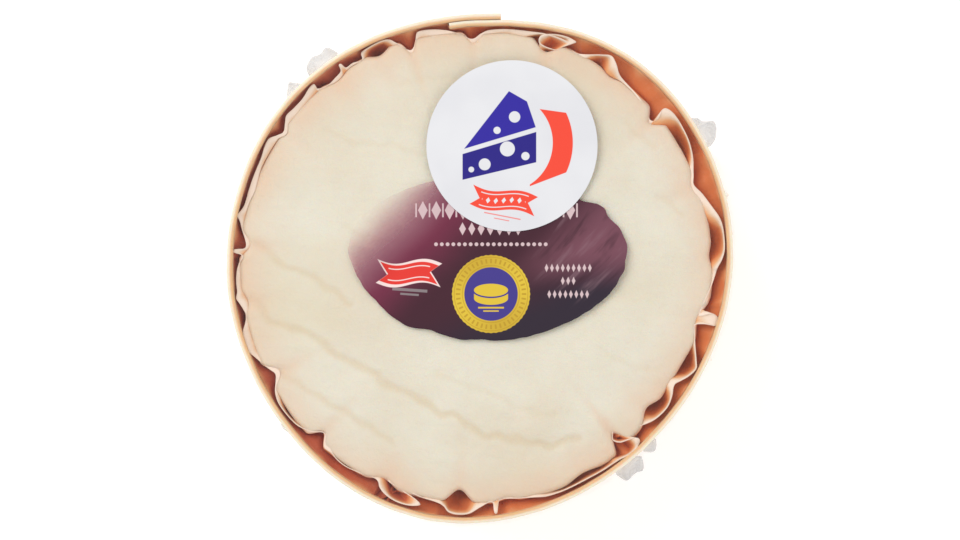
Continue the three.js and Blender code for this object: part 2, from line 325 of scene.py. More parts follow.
def veneer_finish():
    wood = Finish(
        "poplar veneer",
        Roughness=0.62,
        Specular_IOR_Level=0.3,
        Subsurface_Weight=0.35,
        Subsurface_Radius=(1.0, 0.55, 0.3),
        Subsurface_Scale=0.0012,
    )
    grain = wood.mark("grain")
    _, up, across = wood.parts(grain)
    x, _, _ = wood.parts(wood.place())
    cloud = wood.noise(grain, (60, 5, 4), detail=3)
    streak = wood.noise(grain, (55, 0.9, 1.2), detail=5, roughness=0.62)
    fibre = wood.noise(grain, (7, 0.16, 0.3), detail=4, roughness=0.7)
    pores = wood.noise(grain, (2.4, 0.09, 0.2), detail=2).rise(0.66, 0.78)
    colour = wood.blend(cloud.rise(0.35, 0.7), VENEER_PALE, VENEER_TAN)
    colour = wood.blend(streak.rise(0.52, 0.76) * 0.8, colour, VENEER_STREAK)
    colour = wood.blend(fibre.rise(0.48, 0.78) * 0.5 + pores * 0.45, colour, VENEER_STREAK)
    # Painted shade and bounced light: orange-brown starts a little below the rim, on the inner face
    # only, deepens on its way down, and is redder and darker on the left, which faces away from the
    # window light.
    wander = (wood.noise(grain, (14, 6, 1), detail=3) - 0.5) * 5
    depth = STRIP_HEIGHT - up + wander
    inner = across.rise(0.62, 0.16)
    left_in_shade = x.rise(4, -34)
    painted_shade = wood.blend(depth.rise(2.5, 7), PAINTED_SHADE_TOP, PAINTED_SHADE_DEEP)
    painted_shade = wood.blend(left_in_shade * depth.rise(2, 6) * 0.85, painted_shade, CHECKS_AND_PAINTED_SHADE)
    colour = wood.blend(inner * depth.rise(-1.5, 4) * 0.94, colour, painted_shade)
    checks = wood.noise(grain, (0.28, 7, 1), detail=2, roughness=0.6).rise(0.62, 0.74) * inner
    colour = wood.blend(checks * depth.rise(1, 6) * 0.4, colour, CHECKS_AND_PAINTED_SHADE)
    cut = up.rise(STRIP_HEIGHT - 0.5, STRIP_HEIGHT - 0.12)
    specks = wood.noise(grain, (0.9, 0.5, 0.12), detail=3, roughness=0.7).rise(0.45, 0.8)
    rim_edge = wood.blend(across.rise(0.8, 0.25), RIM_CREAM, RIM_TAN)
    colour = wood.blend(cut * (0.9 - specks * 0.5), colour, rim_edge)
    wood.set("Base Color", colour)
    wood.set("Roughness", 0.56 + streak * 0.2 + checks * 0.1)
    wood.relief((fibre - 0.5) * 0.07 + (streak - 0.5) * 0.08 - pores * 0.03 - checks * 0.05)
    return wood.material


points, faces, marks = hoop_mesh()
make_piece(
    "veneer_hoop", points, faces, veneer_finish(), ["box_hoop"], {"grain": marks}
)


# ---- The floor of the box ---------------------------------------------------------------------
# A disc sawn from thin poplar board, 3 mm thick, with straight grain from side to side. It lies
# inside the foot of the hoop and is held by staples through the hoop into its edge.

FLOOR_THICKNESS = 3.0
FLOOR_TOP = BOX_BASE + FLOOR_THICKNESS
FLOOR_GAP = 0.3
FLOOR_COLUMNS = 360
FLOOR_EDGE_ROUND = 0.3
STEP_ROOM = 3.75  # the disc keeps clear of the inner end of the strip for this many degrees


def close_ends(faces, rows, columns):
    """Closes a round net to the two points that follow it, one for its first row and one for its
    last."""
    first_middle, last_middle = rows * columns, rows * columns + 1
    last_row = (rows - 1) * columns
    for i in range(columns):
        j = (i + 1) % columns
        faces.append([first_middle, j, i])
        faces.append([last_middle, last_row + i, last_row + j])


def floor_mesh():
    angle = np.arange(FLOOR_COLUMNS) * 360 / FLOOR_COLUMNS
    near = [hoop_inside(angle + share * STEP_ROOM) for share in (-1, -0.5, 0)]
    edge = np.minimum.reduce(near) - FLOOR_GAP
    rows = [(edge * share, 0 * edge) for share in (0.25, 0.5, 0.75)]
    soft = FLOOR_EDGE_ROUND
    for level, start in ((soft, -90), (FLOOR_THICKNESS - soft, 0)):
        for turn in np.linspace(start, start + 90, 4):
            rows.append((edge - soft + soft * cosine(turn), 0 * edge + level + soft * sine(turn)))
    rows += [(edge * share, 0 * edge + FLOOR_THICKNESS) for share in (0.75, 0.5, 0.25)]
    net = [np.stack([r * cosine(angle), r * sine(angle), BOX_BASE + z], -1) for r, z in rows]
    faces = net_faces(len(rows), FLOOR_COLUMNS, close_columns=True)
    close_ends(faces, len(rows), FLOOR_COLUMNS)
    points = np.concatenate([*net, [[0, 0, BOX_BASE], [0, 0, FLOOR_TOP]]])
    return points, faces


BOARD_PALE = paint(238, 215, 180)
BOARD_TAN = paint(220, 180, 130)
BOARD_LINE = paint(188, 138, 88)


def board_finish():
    wood = Finish("poplar board", Roughness=0.7, Specular_IOR_Level=0.3)
    where = wood.place()
    _, _, up = wood.parts(where)
    bands = wood.noise(where, (140, 5.5, 9), detail=4, roughness=0.6, distortion=0.4)
    lines = wood.noise(where, (90, 0.9, 2), detail=4, roughness=0.65)
    fibre = wood.noise(where, (9, 0.18, 0.4), detail=4, roughness=0.7)
    saw = wood.noise(where, (1.3, 40, 9), detail=2)
    colour = wood.blend(bands.rise(0.35, 0.7), BOARD_PALE, BOARD_TAN)
    dark = lines.rise(0.55, 0.8) * 0.6 + fibre.rise(0.6, 0.9) * 0.3
    colour = wood.blend(dark, colour, BOARD_LINE)
    wood.set("Base Color", colour)
    wood.set("Roughness", 0.6 + fibre * 0.25)
    wood.relief((fibre - 0.5) * 0.1 + (saw - 0.5) * 0.06 + (lines - 0.5) * 0.05)
    return wood.material


points, faces = floor_mesh()
make_piece("floor_board", points, faces, board_finish(), ["box_floor"])


# ---- Staples ----------------------------------------------------------------------------------
# Flat steel wire, bent into a wide U and driven from outside: two upright ones hold the overlap and
# are clinched inside it, and six level ones go through the hoop into the edge of the floor.

WIRE_WIDTH = 0.7
WIRE_THICKNESS = 0.5
CROWN_LENGTH = 7.5
STAPLE_PLAY = 0.15
BEND = 0.45  # inside radius of a bend, to the middle of the wire
FLOOR_LEG = 5.0
CLINCH = 2.2
WIRE_SIDES = 16
WIRE_SQUARENESS = 5.0  # 2 would be an oval section
HOOP_LEG = 2 * VENEER + PLY_GAP + 2 * STAPLE_PLAY
FLOOR_STAPLE_ANGLES = (22, 68, 142, 202, 262, 322)
FLOOR_STAPLE_HEIGHT = BOX_BASE + FLOOR_THICKNESS / 2
HOOP_STAPLE_ANGLE = INNER_END - OVERLAP / 2
HOOP_STAPLE_HEIGHTS = {"upper": 26, "lower": 11}


def bent(corners, radius, steps=5):
    """A path along straight runs with round bends at its inner corners."""
    corners = [np.array(corner, float) for corner in corners]
    path = [corners[0]]
    for before, corner, after in zip(corners, corners[1:], corners[2:]):
        back = (before - corner) / np.linalg.norm(before - corner)
        on = (after - corner) / np.linalg.norm(after - corner)
        for share in np.linspace(0, 1, steps + 1):
            path.append(corner + radius * (back * (1 - share) ** 2 + on * share**2))
    return np.array([*path, corners[-1]])


def wire_mesh(path):
    """Sweeps the wire's rounded section along a flat path in x and y; its width is along z."""
    turn = (np.arange(WIRE_SIDES) + 0.5) * 360 / WIRE_SIDES
    power = 2 / WIRE_SQUARENESS
    round_x = np.sign(cosine(turn)) * abs(cosine(turn)) ** power * WIRE_THICKNESS / 2
    round_z = np.sign(sine(turn)) * abs(sine(turn)) ** power * WIRE_WIDTH / 2
    heading = np.gradient(path, axis=0)
    heading /= np.linalg.norm(heading, axis=1, keepdims=True)
    sideways = np.stack([heading[:, 1], -heading[:, 0]], -1)
    flat = path[:, None, :] + sideways[:, None, :] * round_x[None, :, None]
    points = np.concatenate([flat, np.broadcast_to(round_z, flat.shape[:2])[..., None]], -1)
    faces = net_faces(len(path), WIRE_SIDES, close_columns=True)
    last = len(path) * WIRE_SIDES - 1
    ends = [list(range(WIRE_SIDES)), list(range(last, last - WIRE_SIDES, -1))]
    return points, faces + ends


def staple_path(leg, clinch):
    """x runs along the crown, y out of the hoop, and y = 0 is the underside of the crown."""
    side = (CROWN_LENGTH - WIRE_THICKNESS) / 2
    crown = WIRE_THICKNESS / 2
    half = [(side, crown), (side, -leg - (crown if clinch else 0))]
    if clinch:
        half.append((side - clinch, -leg - crown))
    mirrored = [(-x, y) for x, y in reversed(half)]
    return bent([*mirrored, *half], BEND)


def on_hoop(points, angle, radius, height, upright):
    """Puts a staple drawn as above on the hoop, with its crown upright or level."""
    x, y, z = points[..., 0], points[..., 1], points[..., 2]
    if upright:
        x, z = z, -x
    out = radius + y
    east = out * cosine(angle) + x * sine(angle)
    north = out * sine(angle) - x * cosine(angle)
    return np.stack([east, north, height + z], -1)


STEEL = paint(200, 200, 203)
STEEL_DULL = paint(150, 148, 146)


def steel_finish():
    steel = Finish("staple wire", Metallic=1.0, Roughness=0.3)
    where = steel.place()
    drawn = steel.noise(where, (0.12, 0.12, 0.12), detail=3)
    tarnish = steel.noise(where, (1.6, 1.6, 1.6), detail=3).rise(0.45, 0.75)
    steel.set("Base Color", steel.blend(tarnish, STEEL, STEEL_DULL))
    steel.set("Roughness", 0.24 + drawn * 0.14 + tarnish * 0.14)
    steel.relief((drawn - 0.5) * 0.02)
    return steel.material


steel_wire = steel_finish()
for level, height in HOOP_STAPLE_HEIGHTS.items():
    wire, faces = wire_mesh(staple_path(HOOP_LEG, CLINCH))
    radius = hoop_outside(HOOP_STAPLE_ANGLE) + STAPLE_PLAY
    wire = on_hoop(wire, HOOP_STAPLE_ANGLE, radius, height, upright=True)
    nodes = [f"hoop_staple_{level}"]
    make_piece(f"overlap_staple_{level}", wire, faces, steel_wire, nodes)
for number, angle in enumerate(FLOOR_STAPLE_ANGLES, start=1):
    wire, faces = wire_mesh(staple_path(FLOOR_LEG, 0))
    radius = hoop_inside(angle) + VENEER + STAPLE_PLAY
    wire = on_hoop(wire, angle, radius, FLOOR_STAPLE_HEIGHT, upright=False)
    nodes = [f"floor_staple_{number}"]
    make_piece(f"board_staple_{number}", wire, faces, steel_wire, nodes)


# ---- The cheese -------------------------------------------------------------------------------
# A flat wheel of soft curd under a thin white-mould rind. It has settled a little to one side, the
# pleats of the cup have pressed notches into its edge, and the rind has wrinkled as it dried.

CHEESE_BASE = 3.75
CHEESE_HEIGHT = 32.35
CHEESE_CROWN = 1.1
SHOULDER = CHEESE_HEIGHT - CHEESE_CROWN
CHEESE_RADIUS = 46.4
CHEESE_LEAN = 0.75
LEAN_ANGLE = 155
CUP_ROOM = 1.0  # between the cheese and the hoop
NOTCHES = (  # angle, depth, half its width in degrees
    (3, 0.6, 4), (21, 1.0, 4), (40.5, 2.0, 3.5), (56, 0.5, 4), (73, 2.2, 4.5), (91.5, 1.9, 3),
    (107.3, 2.5, 2.5), (115, 1.0, 4), (127, 0.8, 5), (145, 0.9, 2.5), (160, 0.3, 5),
    (174, 1.8, 4), (188.5, 0.8, 4), (207.3, 2.1, 4), (226.5, 2.3, 3), (246, 1.2, 5),
    (265, 2.6, 4.5), (277, 0.6, 4), (297, 0.9, 7), (309, 3.6, 3), (320, 1.4, 5),
    (330, 1.9, 26), (347, 1.2, 6),
)
SIDE_PROFILE = (  # from the top's shoulder down: how far in from the side, and how far up
    (2.6, SHOULDER), (1.3, SHOULDER - 0.15), (0.6, SHOULDER - 0.5), (0.25, SHOULDER - 1.2),
    (0.08, SHOULDER - 3.0), (0.0, SHOULDER / 2), (0.2, 3.5), (0.8, 0.8), (2.6, 0.0),
)
# Long wrinkles in the rind: how deep each is, then its line in x and y.
WRINKLES = (
    (0.28, ((-43.4, 5.0), (-38.7, 1.1), (-34.5, -0.6), (-28.8, -4.1), (-25, -6.5))),
    (0.34, ((-46.8, -5.3), (-42.9, -7.1), (-40.5, -10.5), (-36.5, -11.5), (-31.3, -13.7),
            (-28.1, -16.4), (-20.4, -20.4), (-18.4, -22.4), (-10.7, -25.7), (-8, -27.8),
            (-4.7, -28.8), (-0.5, -31.7), (5.2, -33), (12.6, -34.2), (19.3, -33.2))),
    (0.26, ((-38.5, -20.6), (-35.8, -22.4), (-29.1, -26.1), (-23.4, -29.6), (-17, -34))),
    (0.2, ((28.7, 27.9), (31.3, 25.7), (34.2, 23.8))),
    (0.2, ((34.6, 14.3), (37.4, 12.5), (39.6, 10.4))),
    (0.16, ((-30, 27), (-24, 24.5), (-17, 24), (-11, 22))),
    (0.16, ((-8, -20.5), (0, -23.5), (9, -27.5), (15, -28.5))),
    (0.14, ((24, -16), (30, -19), (35, -19.5))),
    (0.15, ((-26, 8), (-21, 5.5), (-15, 5))),
    (0.14, ((-15, 36), (-8, 37), (-2, 36))),
)
WRINKLE_WIDTH = 0.95
WRINKLE_SHARE = 0.78  # how much of each depth shows once the rind has eased
FOLD_DEPTH = 0.23
GROOVE_DEPTH = 0.08
RELIEF_FROM = 20.0  # below this height the side is smooth
FOLD_LEAN = -32  # the way that the faint folds run
EDGE_REACH = 5.0  # how far in from the side the painted warm shade reaches
DEEPEST_WRINKLE = max(depth for depth, _ in WRINKLES)
DEEPEST_GROOVE = 2.2
CHEESE_COLUMNS = 720
TOP_ROWS = 84
SIDE_ROWS = 36


def turn_between(start, end):
    """The shortest way round from one angle to another."""
    return np.mod(end - start + 180, 360) - 180


def bump(distance, half_width):
    """1 at the middle of a bump and 0 at its sides, with no corner at either."""
    share = np.minimum(abs(distance) / half_width, 1)
    return 0.5 + 0.5 * np.cos(math.pi * share)


def cheese_side(angle):
    # The hoop's inner end is a step that the soft cheese only follows loosely.
    near = [hoop_inside(angle + turn) for turn in np.linspace(-7, 7, 15)]
    room = np.mean(near, axis=0) - CUP_ROOM
    spread = np.minimum(room, CHEESE_RADIUS + CHEESE_LEAN * cosine(angle - LEAN_ANGLE))
    for middle, depth, half_width in NOTCHES:
        spread = spread - depth * bump(turn_between(angle, middle), half_width)
    return spread


def smooth_line(corners, steps):
    """A curve through all the corners, with steps short runs between each two."""
    corners = np.array(corners, float)
    before_first, after_last = 2 * corners[0] - corners[1], 2 * corners[-1] - corners[-2]
    padded = np.concatenate([[before_first], corners, [after_last]])
    share = (np.arange(steps) / steps)[:, None]
    runs = []
    for before, start, end, after in zip(padded, padded[1:], padded[2:], padded[3:]):
        turn = 2 * before - 5 * start + 4 * end - after
        twist = 3 * (start - end) + after - before
        runs.append(start + 0.5 * share * ((end - before) + share * (turn + share * twist)))
    return np.concatenate([*runs, corners[-1:]])


def distance_to_line(x, y, line):
    nearest = np.full(x.shape, 1e9)
    for (x0, y0), (x1, y1) in zip(line, line[1:]):
        along = ((x - x0) * (x1 - x0) + (y - y0) * (y1 - y0)) / ((x1 - x0) ** 2 + (y1 - y0) ** 2)
        along = np.clip(along, 0, 1)
        gap = np.hypot(x - x0 - along * (x1 - x0), y - y0 - along * (y1 - y0))
        nearest = np.minimum(nearest, gap)
    return nearest


def wrinkle_depths(x, y):
    """How far the rind dips at each long wrinkle."""
    wander = 0.3 * ripples(31, 6, x, y)
    deepest = np.zeros(x.shape)
    for depth, line in WRINKLES:
        gap = distance_to_line(x, y + wander, smooth_line(line, 6))
        deepest = np.maximum(deepest, depth * np.exp(-((gap / WRINKLE_WIDTH) ** 2)))
    return deepest


def soft_folds(x, y):
    """Faint folds that run down to the right, with smooth rind between them."""
    lean = math.radians(FOLD_LEAN)
    along = x * math.cos(lean) + y * math.sin(lean)
    over = -x * math.sin(lean) + y * math.cos(lean)
    folds = ripples(32, 9, over + 1.2 * ripples(33, 15, x, y), 0.24 * along)
    patch = np.clip(0.5 + 0.6 * ripples(34, 30, x, y), 0, 1)
    calm = np.clip(0.35 + (x - y + 8) / 50, 0.25, 1)
    return np.maximum(folds, -0.4) * patch * calm


def crown_height(radius):
    """The top falls away a little from its middle to its edge."""
    return CHEESE_HEIGHT - CHEESE_CROWN * (radius / (CHEESE_RADIUS - SIDE_PROFILE[0][0])) ** 2.6


def cheese_mesh():
    angle = np.arange(CHEESE_COLUMNS) * 360 / CHEESE_COLUMNS
    side = cheese_side(angle)
    shoulder_radius = side - SIDE_PROFILE[0][0]
    round_radius = 0.3 * CHEESE_RADIUS + 0.7 * side - SIDE_PROFILE[0][0]
    share = np.linspace(0, 1, TOP_ROWS + 1)[1:-1, None]
    blend = np.clip((share - 0.45) / 0.5, 0, 1)
    blend = blend * blend * (3 - 2 * blend)
    top_radius = share * (shoulder_radius * blend + round_radius.mean() * (1 - blend))
    top_height = crown_height(top_radius)
    line = smooth_line(SIDE_PROFILE, SIDE_ROWS // (len(SIDE_PROFILE) - 1))
    side_radius = side - line[:, :1]
    drop = crown_height(side_radius[0]) - SHOULDER
    side_height = line[:, 1:] + drop * np.clip(line[:, 1:] / SHOULDER * 2 - 1, 0, 1)
    radius = np.concatenate([top_radius, side_radius])
    height = np.concatenate([top_height, side_height])
    x, y = radius * cosine(angle), radius * sine(angle)
    # Relief: full on the top, fading down the side, where the paper has pressed the rind smooth.
    on_top = np.clip((height - SHOULDER + 6) / 6, 0, 1)
    wrinkle = wrinkle_depths(x, y)
    lumps = 0.11 * ripples(35, 17, x, y, height) + 0.05 * ripples(36, 6.5, x, y, height)
    lumps += 0.022 * ripples(37, 2.6, x, y, height, waves=32)
    dip = on_top * (FOLD_DEPTH * soft_folds(x, y) - WRINKLE_SHARE * wrinkle)
    dip = dip + lumps * (0.25 + 0.75 * on_top)
    # Grooves run a short way in over the edge from each notch.
    inwards = side - radius
    groove = np.zeros(radius.shape)
    for middle, depth, half_width in NOTCHES:
        reach = 4 + 2.2 * depth
        near = bump(turn_between(angle, middle), half_width * 0.9)
        strength = min(depth, DEEPEST_GROOVE) * near
        groove = np.maximum(groove, strength * np.exp(-((inwards / reach) ** 2)))
    height = height + np.where(height > RELIEF_FROM, dip - GROOVE_DEPTH * groove * on_top, 0)
    radius = radius + np.where(on_top < 1, 0.5 * lumps, 0)
    points = np.stack([radius * cosine(angle), radius * sine(angle), CHEESE_BASE + height], -1)
    edge = np.exp(-((inwards / EDGE_REACH) ** 2)) + 0 * radius
    marks = np.stack([wrinkle / DEEPEST_WRINKLE, edge, groove / DEEPEST_GROOVE], -1)
    faces = net_faces(len(radius), CHEESE_COLUMNS, close_columns=True)
    close_ends(faces, len(radius), CHEESE_COLUMNS)
    middle_height = CHEESE_BASE + CHEESE_HEIGHT + dip[0].mean()
    points = np.concatenate([points.reshape(-1, 3), [[0, 0, middle_height], [0, 0, CHEESE_BASE]]])
    marks = np.concatenate([marks.reshape(-1, 3), [[0, 0, 0], [0, 0, 0]]])
    return points, faces, marks


RIND_WHITE = paint(233, 227, 209)
RIND_CREAM = paint(228, 217, 195)
RIND_YELLOW = paint(227, 215, 186)
RIND_CREASE_SHADE = paint(220, 198, 160)
RIND_PINK_SHADE = paint(232, 200, 172)


def rind_finish():
    rind = Finish(
        "bloomy rind",
        Roughness=0.78,
        Specular_IOR_Level=0.25,
        Subsurface_Weight=0.25,
        Subsurface_Radius=(1.0, 0.6, 0.35),
        Subsurface_Scale=0.002,
        Sheen_Weight=0.15,
        Sheen_Roughness=0.5,
    )
    where = rind.place()
    wrinkle, edge, groove = rind.parts(rind.mark("rind"))
    clouds = rind.noise(where, (26, 26, 26), detail=4, roughness=0.6)
    warm = rind.noise(where, (38, 34, 30), detail=3)
    bloom = rind.noise(where, (3.2, 3.2, 3.2), detail=5, roughness=0.65)
    fluff = rind.noise(where, (0.55, 0.55, 0.55), detail=4, roughness=0.7)
    colour = rind.blend(clouds.rise(0.36, 0.66), RIND_WHITE, RIND_CREAM)
    colour = rind.blend(warm.rise(0.48, 0.72) * 0.7, colour, RIND_YELLOW)
    colour = rind.blend(bloom.rise(0.62, 0.3) * 0.3, colour, RIND_CREAM)
    # Painted shade along the long wrinkles: the rind is darker there.
    colour = rind.blend(wrinkle.rise(0.1, 1.0) * 0.42, colour, RIND_CREASE_SHADE)
    # Painted warm shade: pink near the side and in the grooves from the notches.
    patchy = 0.55 + rind.noise(where, (15, 15, 15), detail=2).rise(0.35, 0.65) * 0.45
    colour = rind.blend((edge * 0.8 + groove * 0.2).least(1) * patchy, colour, RIND_PINK_SHADE)
    rind.set("Base Color", colour)
    rind.set("Roughness", 0.7 + fluff * 0.2)
    rind.relief((bloom - 0.5) * 0.22 + (fluff - 0.5) * 0.1)
    return rind.material


points, faces, marks = cheese_mesh()
make_piece(
    "cheese", points, faces, rind_finish(), ["cheese_wheel"], {"rind": marks}, 180
)


# ---- The paper cup ----------------------------------------------------------------------------
# One disc of thin greaseproof paper, pressed into a cup with pleats. The cheese holds it against
# the hoop, so the pleats are pushed over into flat folds and loops. The lip stays pale, and the
# wall below it is painted amber and then orange-brown, redder on the left: painted shade and
# bounced light between the cheese and the hoop.

CUP_BASE = 3.35
PAPER = 0.16
CUP_CURVE = 5  # short runs between each two corners of the lip
# The lip, one row for each pleat, in the order in which the paper runs: angle and radius.
LIP = (
    ((0, 46.4), (2, 47.2), (4.5, 47.9), (8, 48.1), (11.5, 47.9), (15, 46.9), (18.5, 45.9),
     (21.3, 44.9)),
    ((23.5, 45.6), (27, 46.8), (31, 47.7), (35, 48.2), (38.3, 48.4), (40.4, 48), (40.9, 47.2),
     (40.2, 46.1), (39.9, 45), (41, 44.2)),
    ((43.5, 44.9), (47, 45.7), (51, 46.1), (54, 46.6), (56, 47.8), (58, 48.7), (60, 48),
     (62.5, 47), (66, 45.9)),
    ((70, 45.2), (73.5, 45.1), (75.2, 45.8), (75, 47), (72, 47.9), (69, 48.2), (66.8, 48),
     (68, 47.5), (72, 47.5), (77, 47.3), (82, 47), (87, 46.6), (89.3, 45.9), (91.3, 44.8)),
    ((93.3, 45.1), (96.5, 46.5), (99.5, 47.2), (102.5, 47.6), (104.5, 47.6), (105.2, 46.9),
     (105.8, 45.6), (107.3, 44.6)),
    ((109, 45.6), (110.3, 46.9), (111.5, 47.9), (113.5, 48.2), (116.5, 48.1), (118.6, 47.9),
     (119, 47), (119.6, 46.6)),
    ((121.5, 47), (123.5, 46.9), (124, 48), (124.6, 48), (125, 46.9), (127, 46.5), (129.5, 46.3),
     (131.3, 46.7)),
    ((132.2, 47.5), (131.8, 48.2), (133.5, 48.2), (136, 47.7), (139, 47.7), (141.5, 47.9),
     (143, 47.3), (145, 46.5)),
    ((146.5, 47.1), (148.3, 48.1), (150.5, 48), (153, 47.6), (157, 47.5), (161, 47.4),
     (165, 47.4), (167.2, 48.1), (167.9, 48.1), (168.8, 47.5), (171, 46.7), (174, 45.6)),
    ((175.2, 45.9), (175.4, 47.2), (175.7, 48), (176.3, 47.8), (176.5, 46.6), (177.2, 46)),
    ((178.7, 46.7), (180.5, 47.2), (183, 47.4), (185.5, 47.3), (187, 47.6), (188.3, 47.1),
     (189.8, 46.6), (191.5, 46.3)),
    ((193.2, 46.8), (195, 47.6), (197.5, 47.8), (200, 47.6), (201.5, 47), (203.5, 46.2),
     (205.5, 45.4), (207.3, 44.7)),
    ((209, 45.3), (211.3, 46.5), (214, 47), (217.5, 47), (220.5, 46.8), (222.5, 46.2),
     (224.5, 45.3), (226.6, 44)),
    ((228.5, 44.6), (230.5, 45.5), (233, 46.3), (236, 46.5), (239.5, 46.1), (243, 45.6)),
    ((244.6, 45.9), (245.6, 46.8), (247.6, 47.6), (250.6, 48.1), (253.7, 48), (256, 47.4),
     (254.8, 46.7), (251.5, 45.9), (248, 45.2), (246.8, 44.9)),
    ((249, 45), (252.5, 45.5), (256, 45.9), (259.8, 46.3), (261.6, 46.8), (262.9, 47.7),
     (265, 48), (267.7, 47.7)),
    ((270.5, 46.4), (273.2, 45.4), (273.6, 47.6), (274.3, 47.6), (274.3, 45.2), (277, 45.2),
     (281, 45.5), (285, 46.1)),
    ((287, 46.3), (291, 46.3), (296, 46.1), (301, 46.1), (305, 46.1), (308, 46.4), (311, 46.5),
     (313, 45.9), (313, 45), (311, 44.2), (309, 43.5), (308, 42.5), (308.6, 41.6), (309.5, 41.1)),
    ((311.5, 42), (314.5, 43.2), (317, 44.4), (320, 45.2), (323.5, 45.5), (326.5, 45),
     (329.2, 44.3)),
    ((331, 45), (333, 45.9), (335.2, 46.5), (337, 45.9), (340, 44.8), (343, 43.9),
     (345.3, 43.3)),
    ((346, 44.7), (346.3, 46.2), (346.5, 47.5), (348.3, 47.5), (349, 46.2), (348, 44.5),
     (348, 43.7), (350.5, 44), (353.5, 44.7), (357, 45.7)),
)
# Pleats that stand away from the cheese as open loops: middle angle, half width, how much deeper.
OPEN_LOOPS = (
    (6.5, 7, 4.4), (32.5, 8, 4.4), (60, 3.5, 3.0), (71, 5.5, 4.2), (115, 4.5, 5.0),
    (217.5, 5, 2.4), (236, 5, 2.4), (251, 6, 4.4), (265, 4.5, 6.0), (297, 14, 3.4),
    (310.5, 3, 4.4), (322.5, 6, 5.0), (335.5, 6, 4.6),
)
NECK_HEIGHT = 34.3  # where the paper leaves the cheese and flares out to its lip
FOLD_HEIGHT = 34.5  # the top of the fold that stands against the hoop, outside the neck
TROUGH_HEIGHT = 31.0  # the bottom of the hollow between that fold and the neck
FOOT_HEIGHT = CUP_BASE + 0.4  # the top of the round corner between the cup's floor and its wall
LIP_HEIGHT = 34.5
LIP_FLARE = 0.85  # how much higher the lip is where it stands out furthest
PRESSED_IN = 0.05  # how far the paper may be pressed into the soft veneer
FOLD_SHADE_DROP = 1.3  # the fold by the hoop gets the painted shade of paper this much further below the lip
FLOOR_RINGS = (  # how far in from the foot of the wall, and how far below its first row
    (0.12, 0.25), (0.5, 0.36), (3, 0.36), (14, 0.36), (30, 0.36), (44, 0.36),
)


def cheese_face(angle, height):
    """Where the side of the cheese is at a height above the table."""
    inset, level = np.array(SIDE_PROFILE).T
    return cheese_side(angle) - np.interp(height - CHEESE_BASE, level[::-1], inset[::-1])


def cup_lip():
    """The whole lip as one closed curve, and how far along the pleats each of its points is."""
    corners = np.array([corner for pleat in LIP for corner in pleat])
    angle, radius = corners.T
    flat = np.stack([radius * cosine(angle), radius * sine(angle)], -1)
    path = smooth_line([flat[-1], *flat, flat[0], flat[1]], CUP_CURVE)
    path = path[CUP_CURVE : -1 - CUP_CURVE]
    run = np.hypot(*(np.roll(path, -1, axis=0) - path).T)
    walked = np.concatenate([[0], np.cumsum(run)])
    ends = np.array([0, *np.cumsum([len(pleat) for pleat in LIP])]) * CUP_CURVE
    pleat = np.interp(walked[:-1], walked[ends], np.arange(len(ends)))
    return path, walked[:-1], pleat


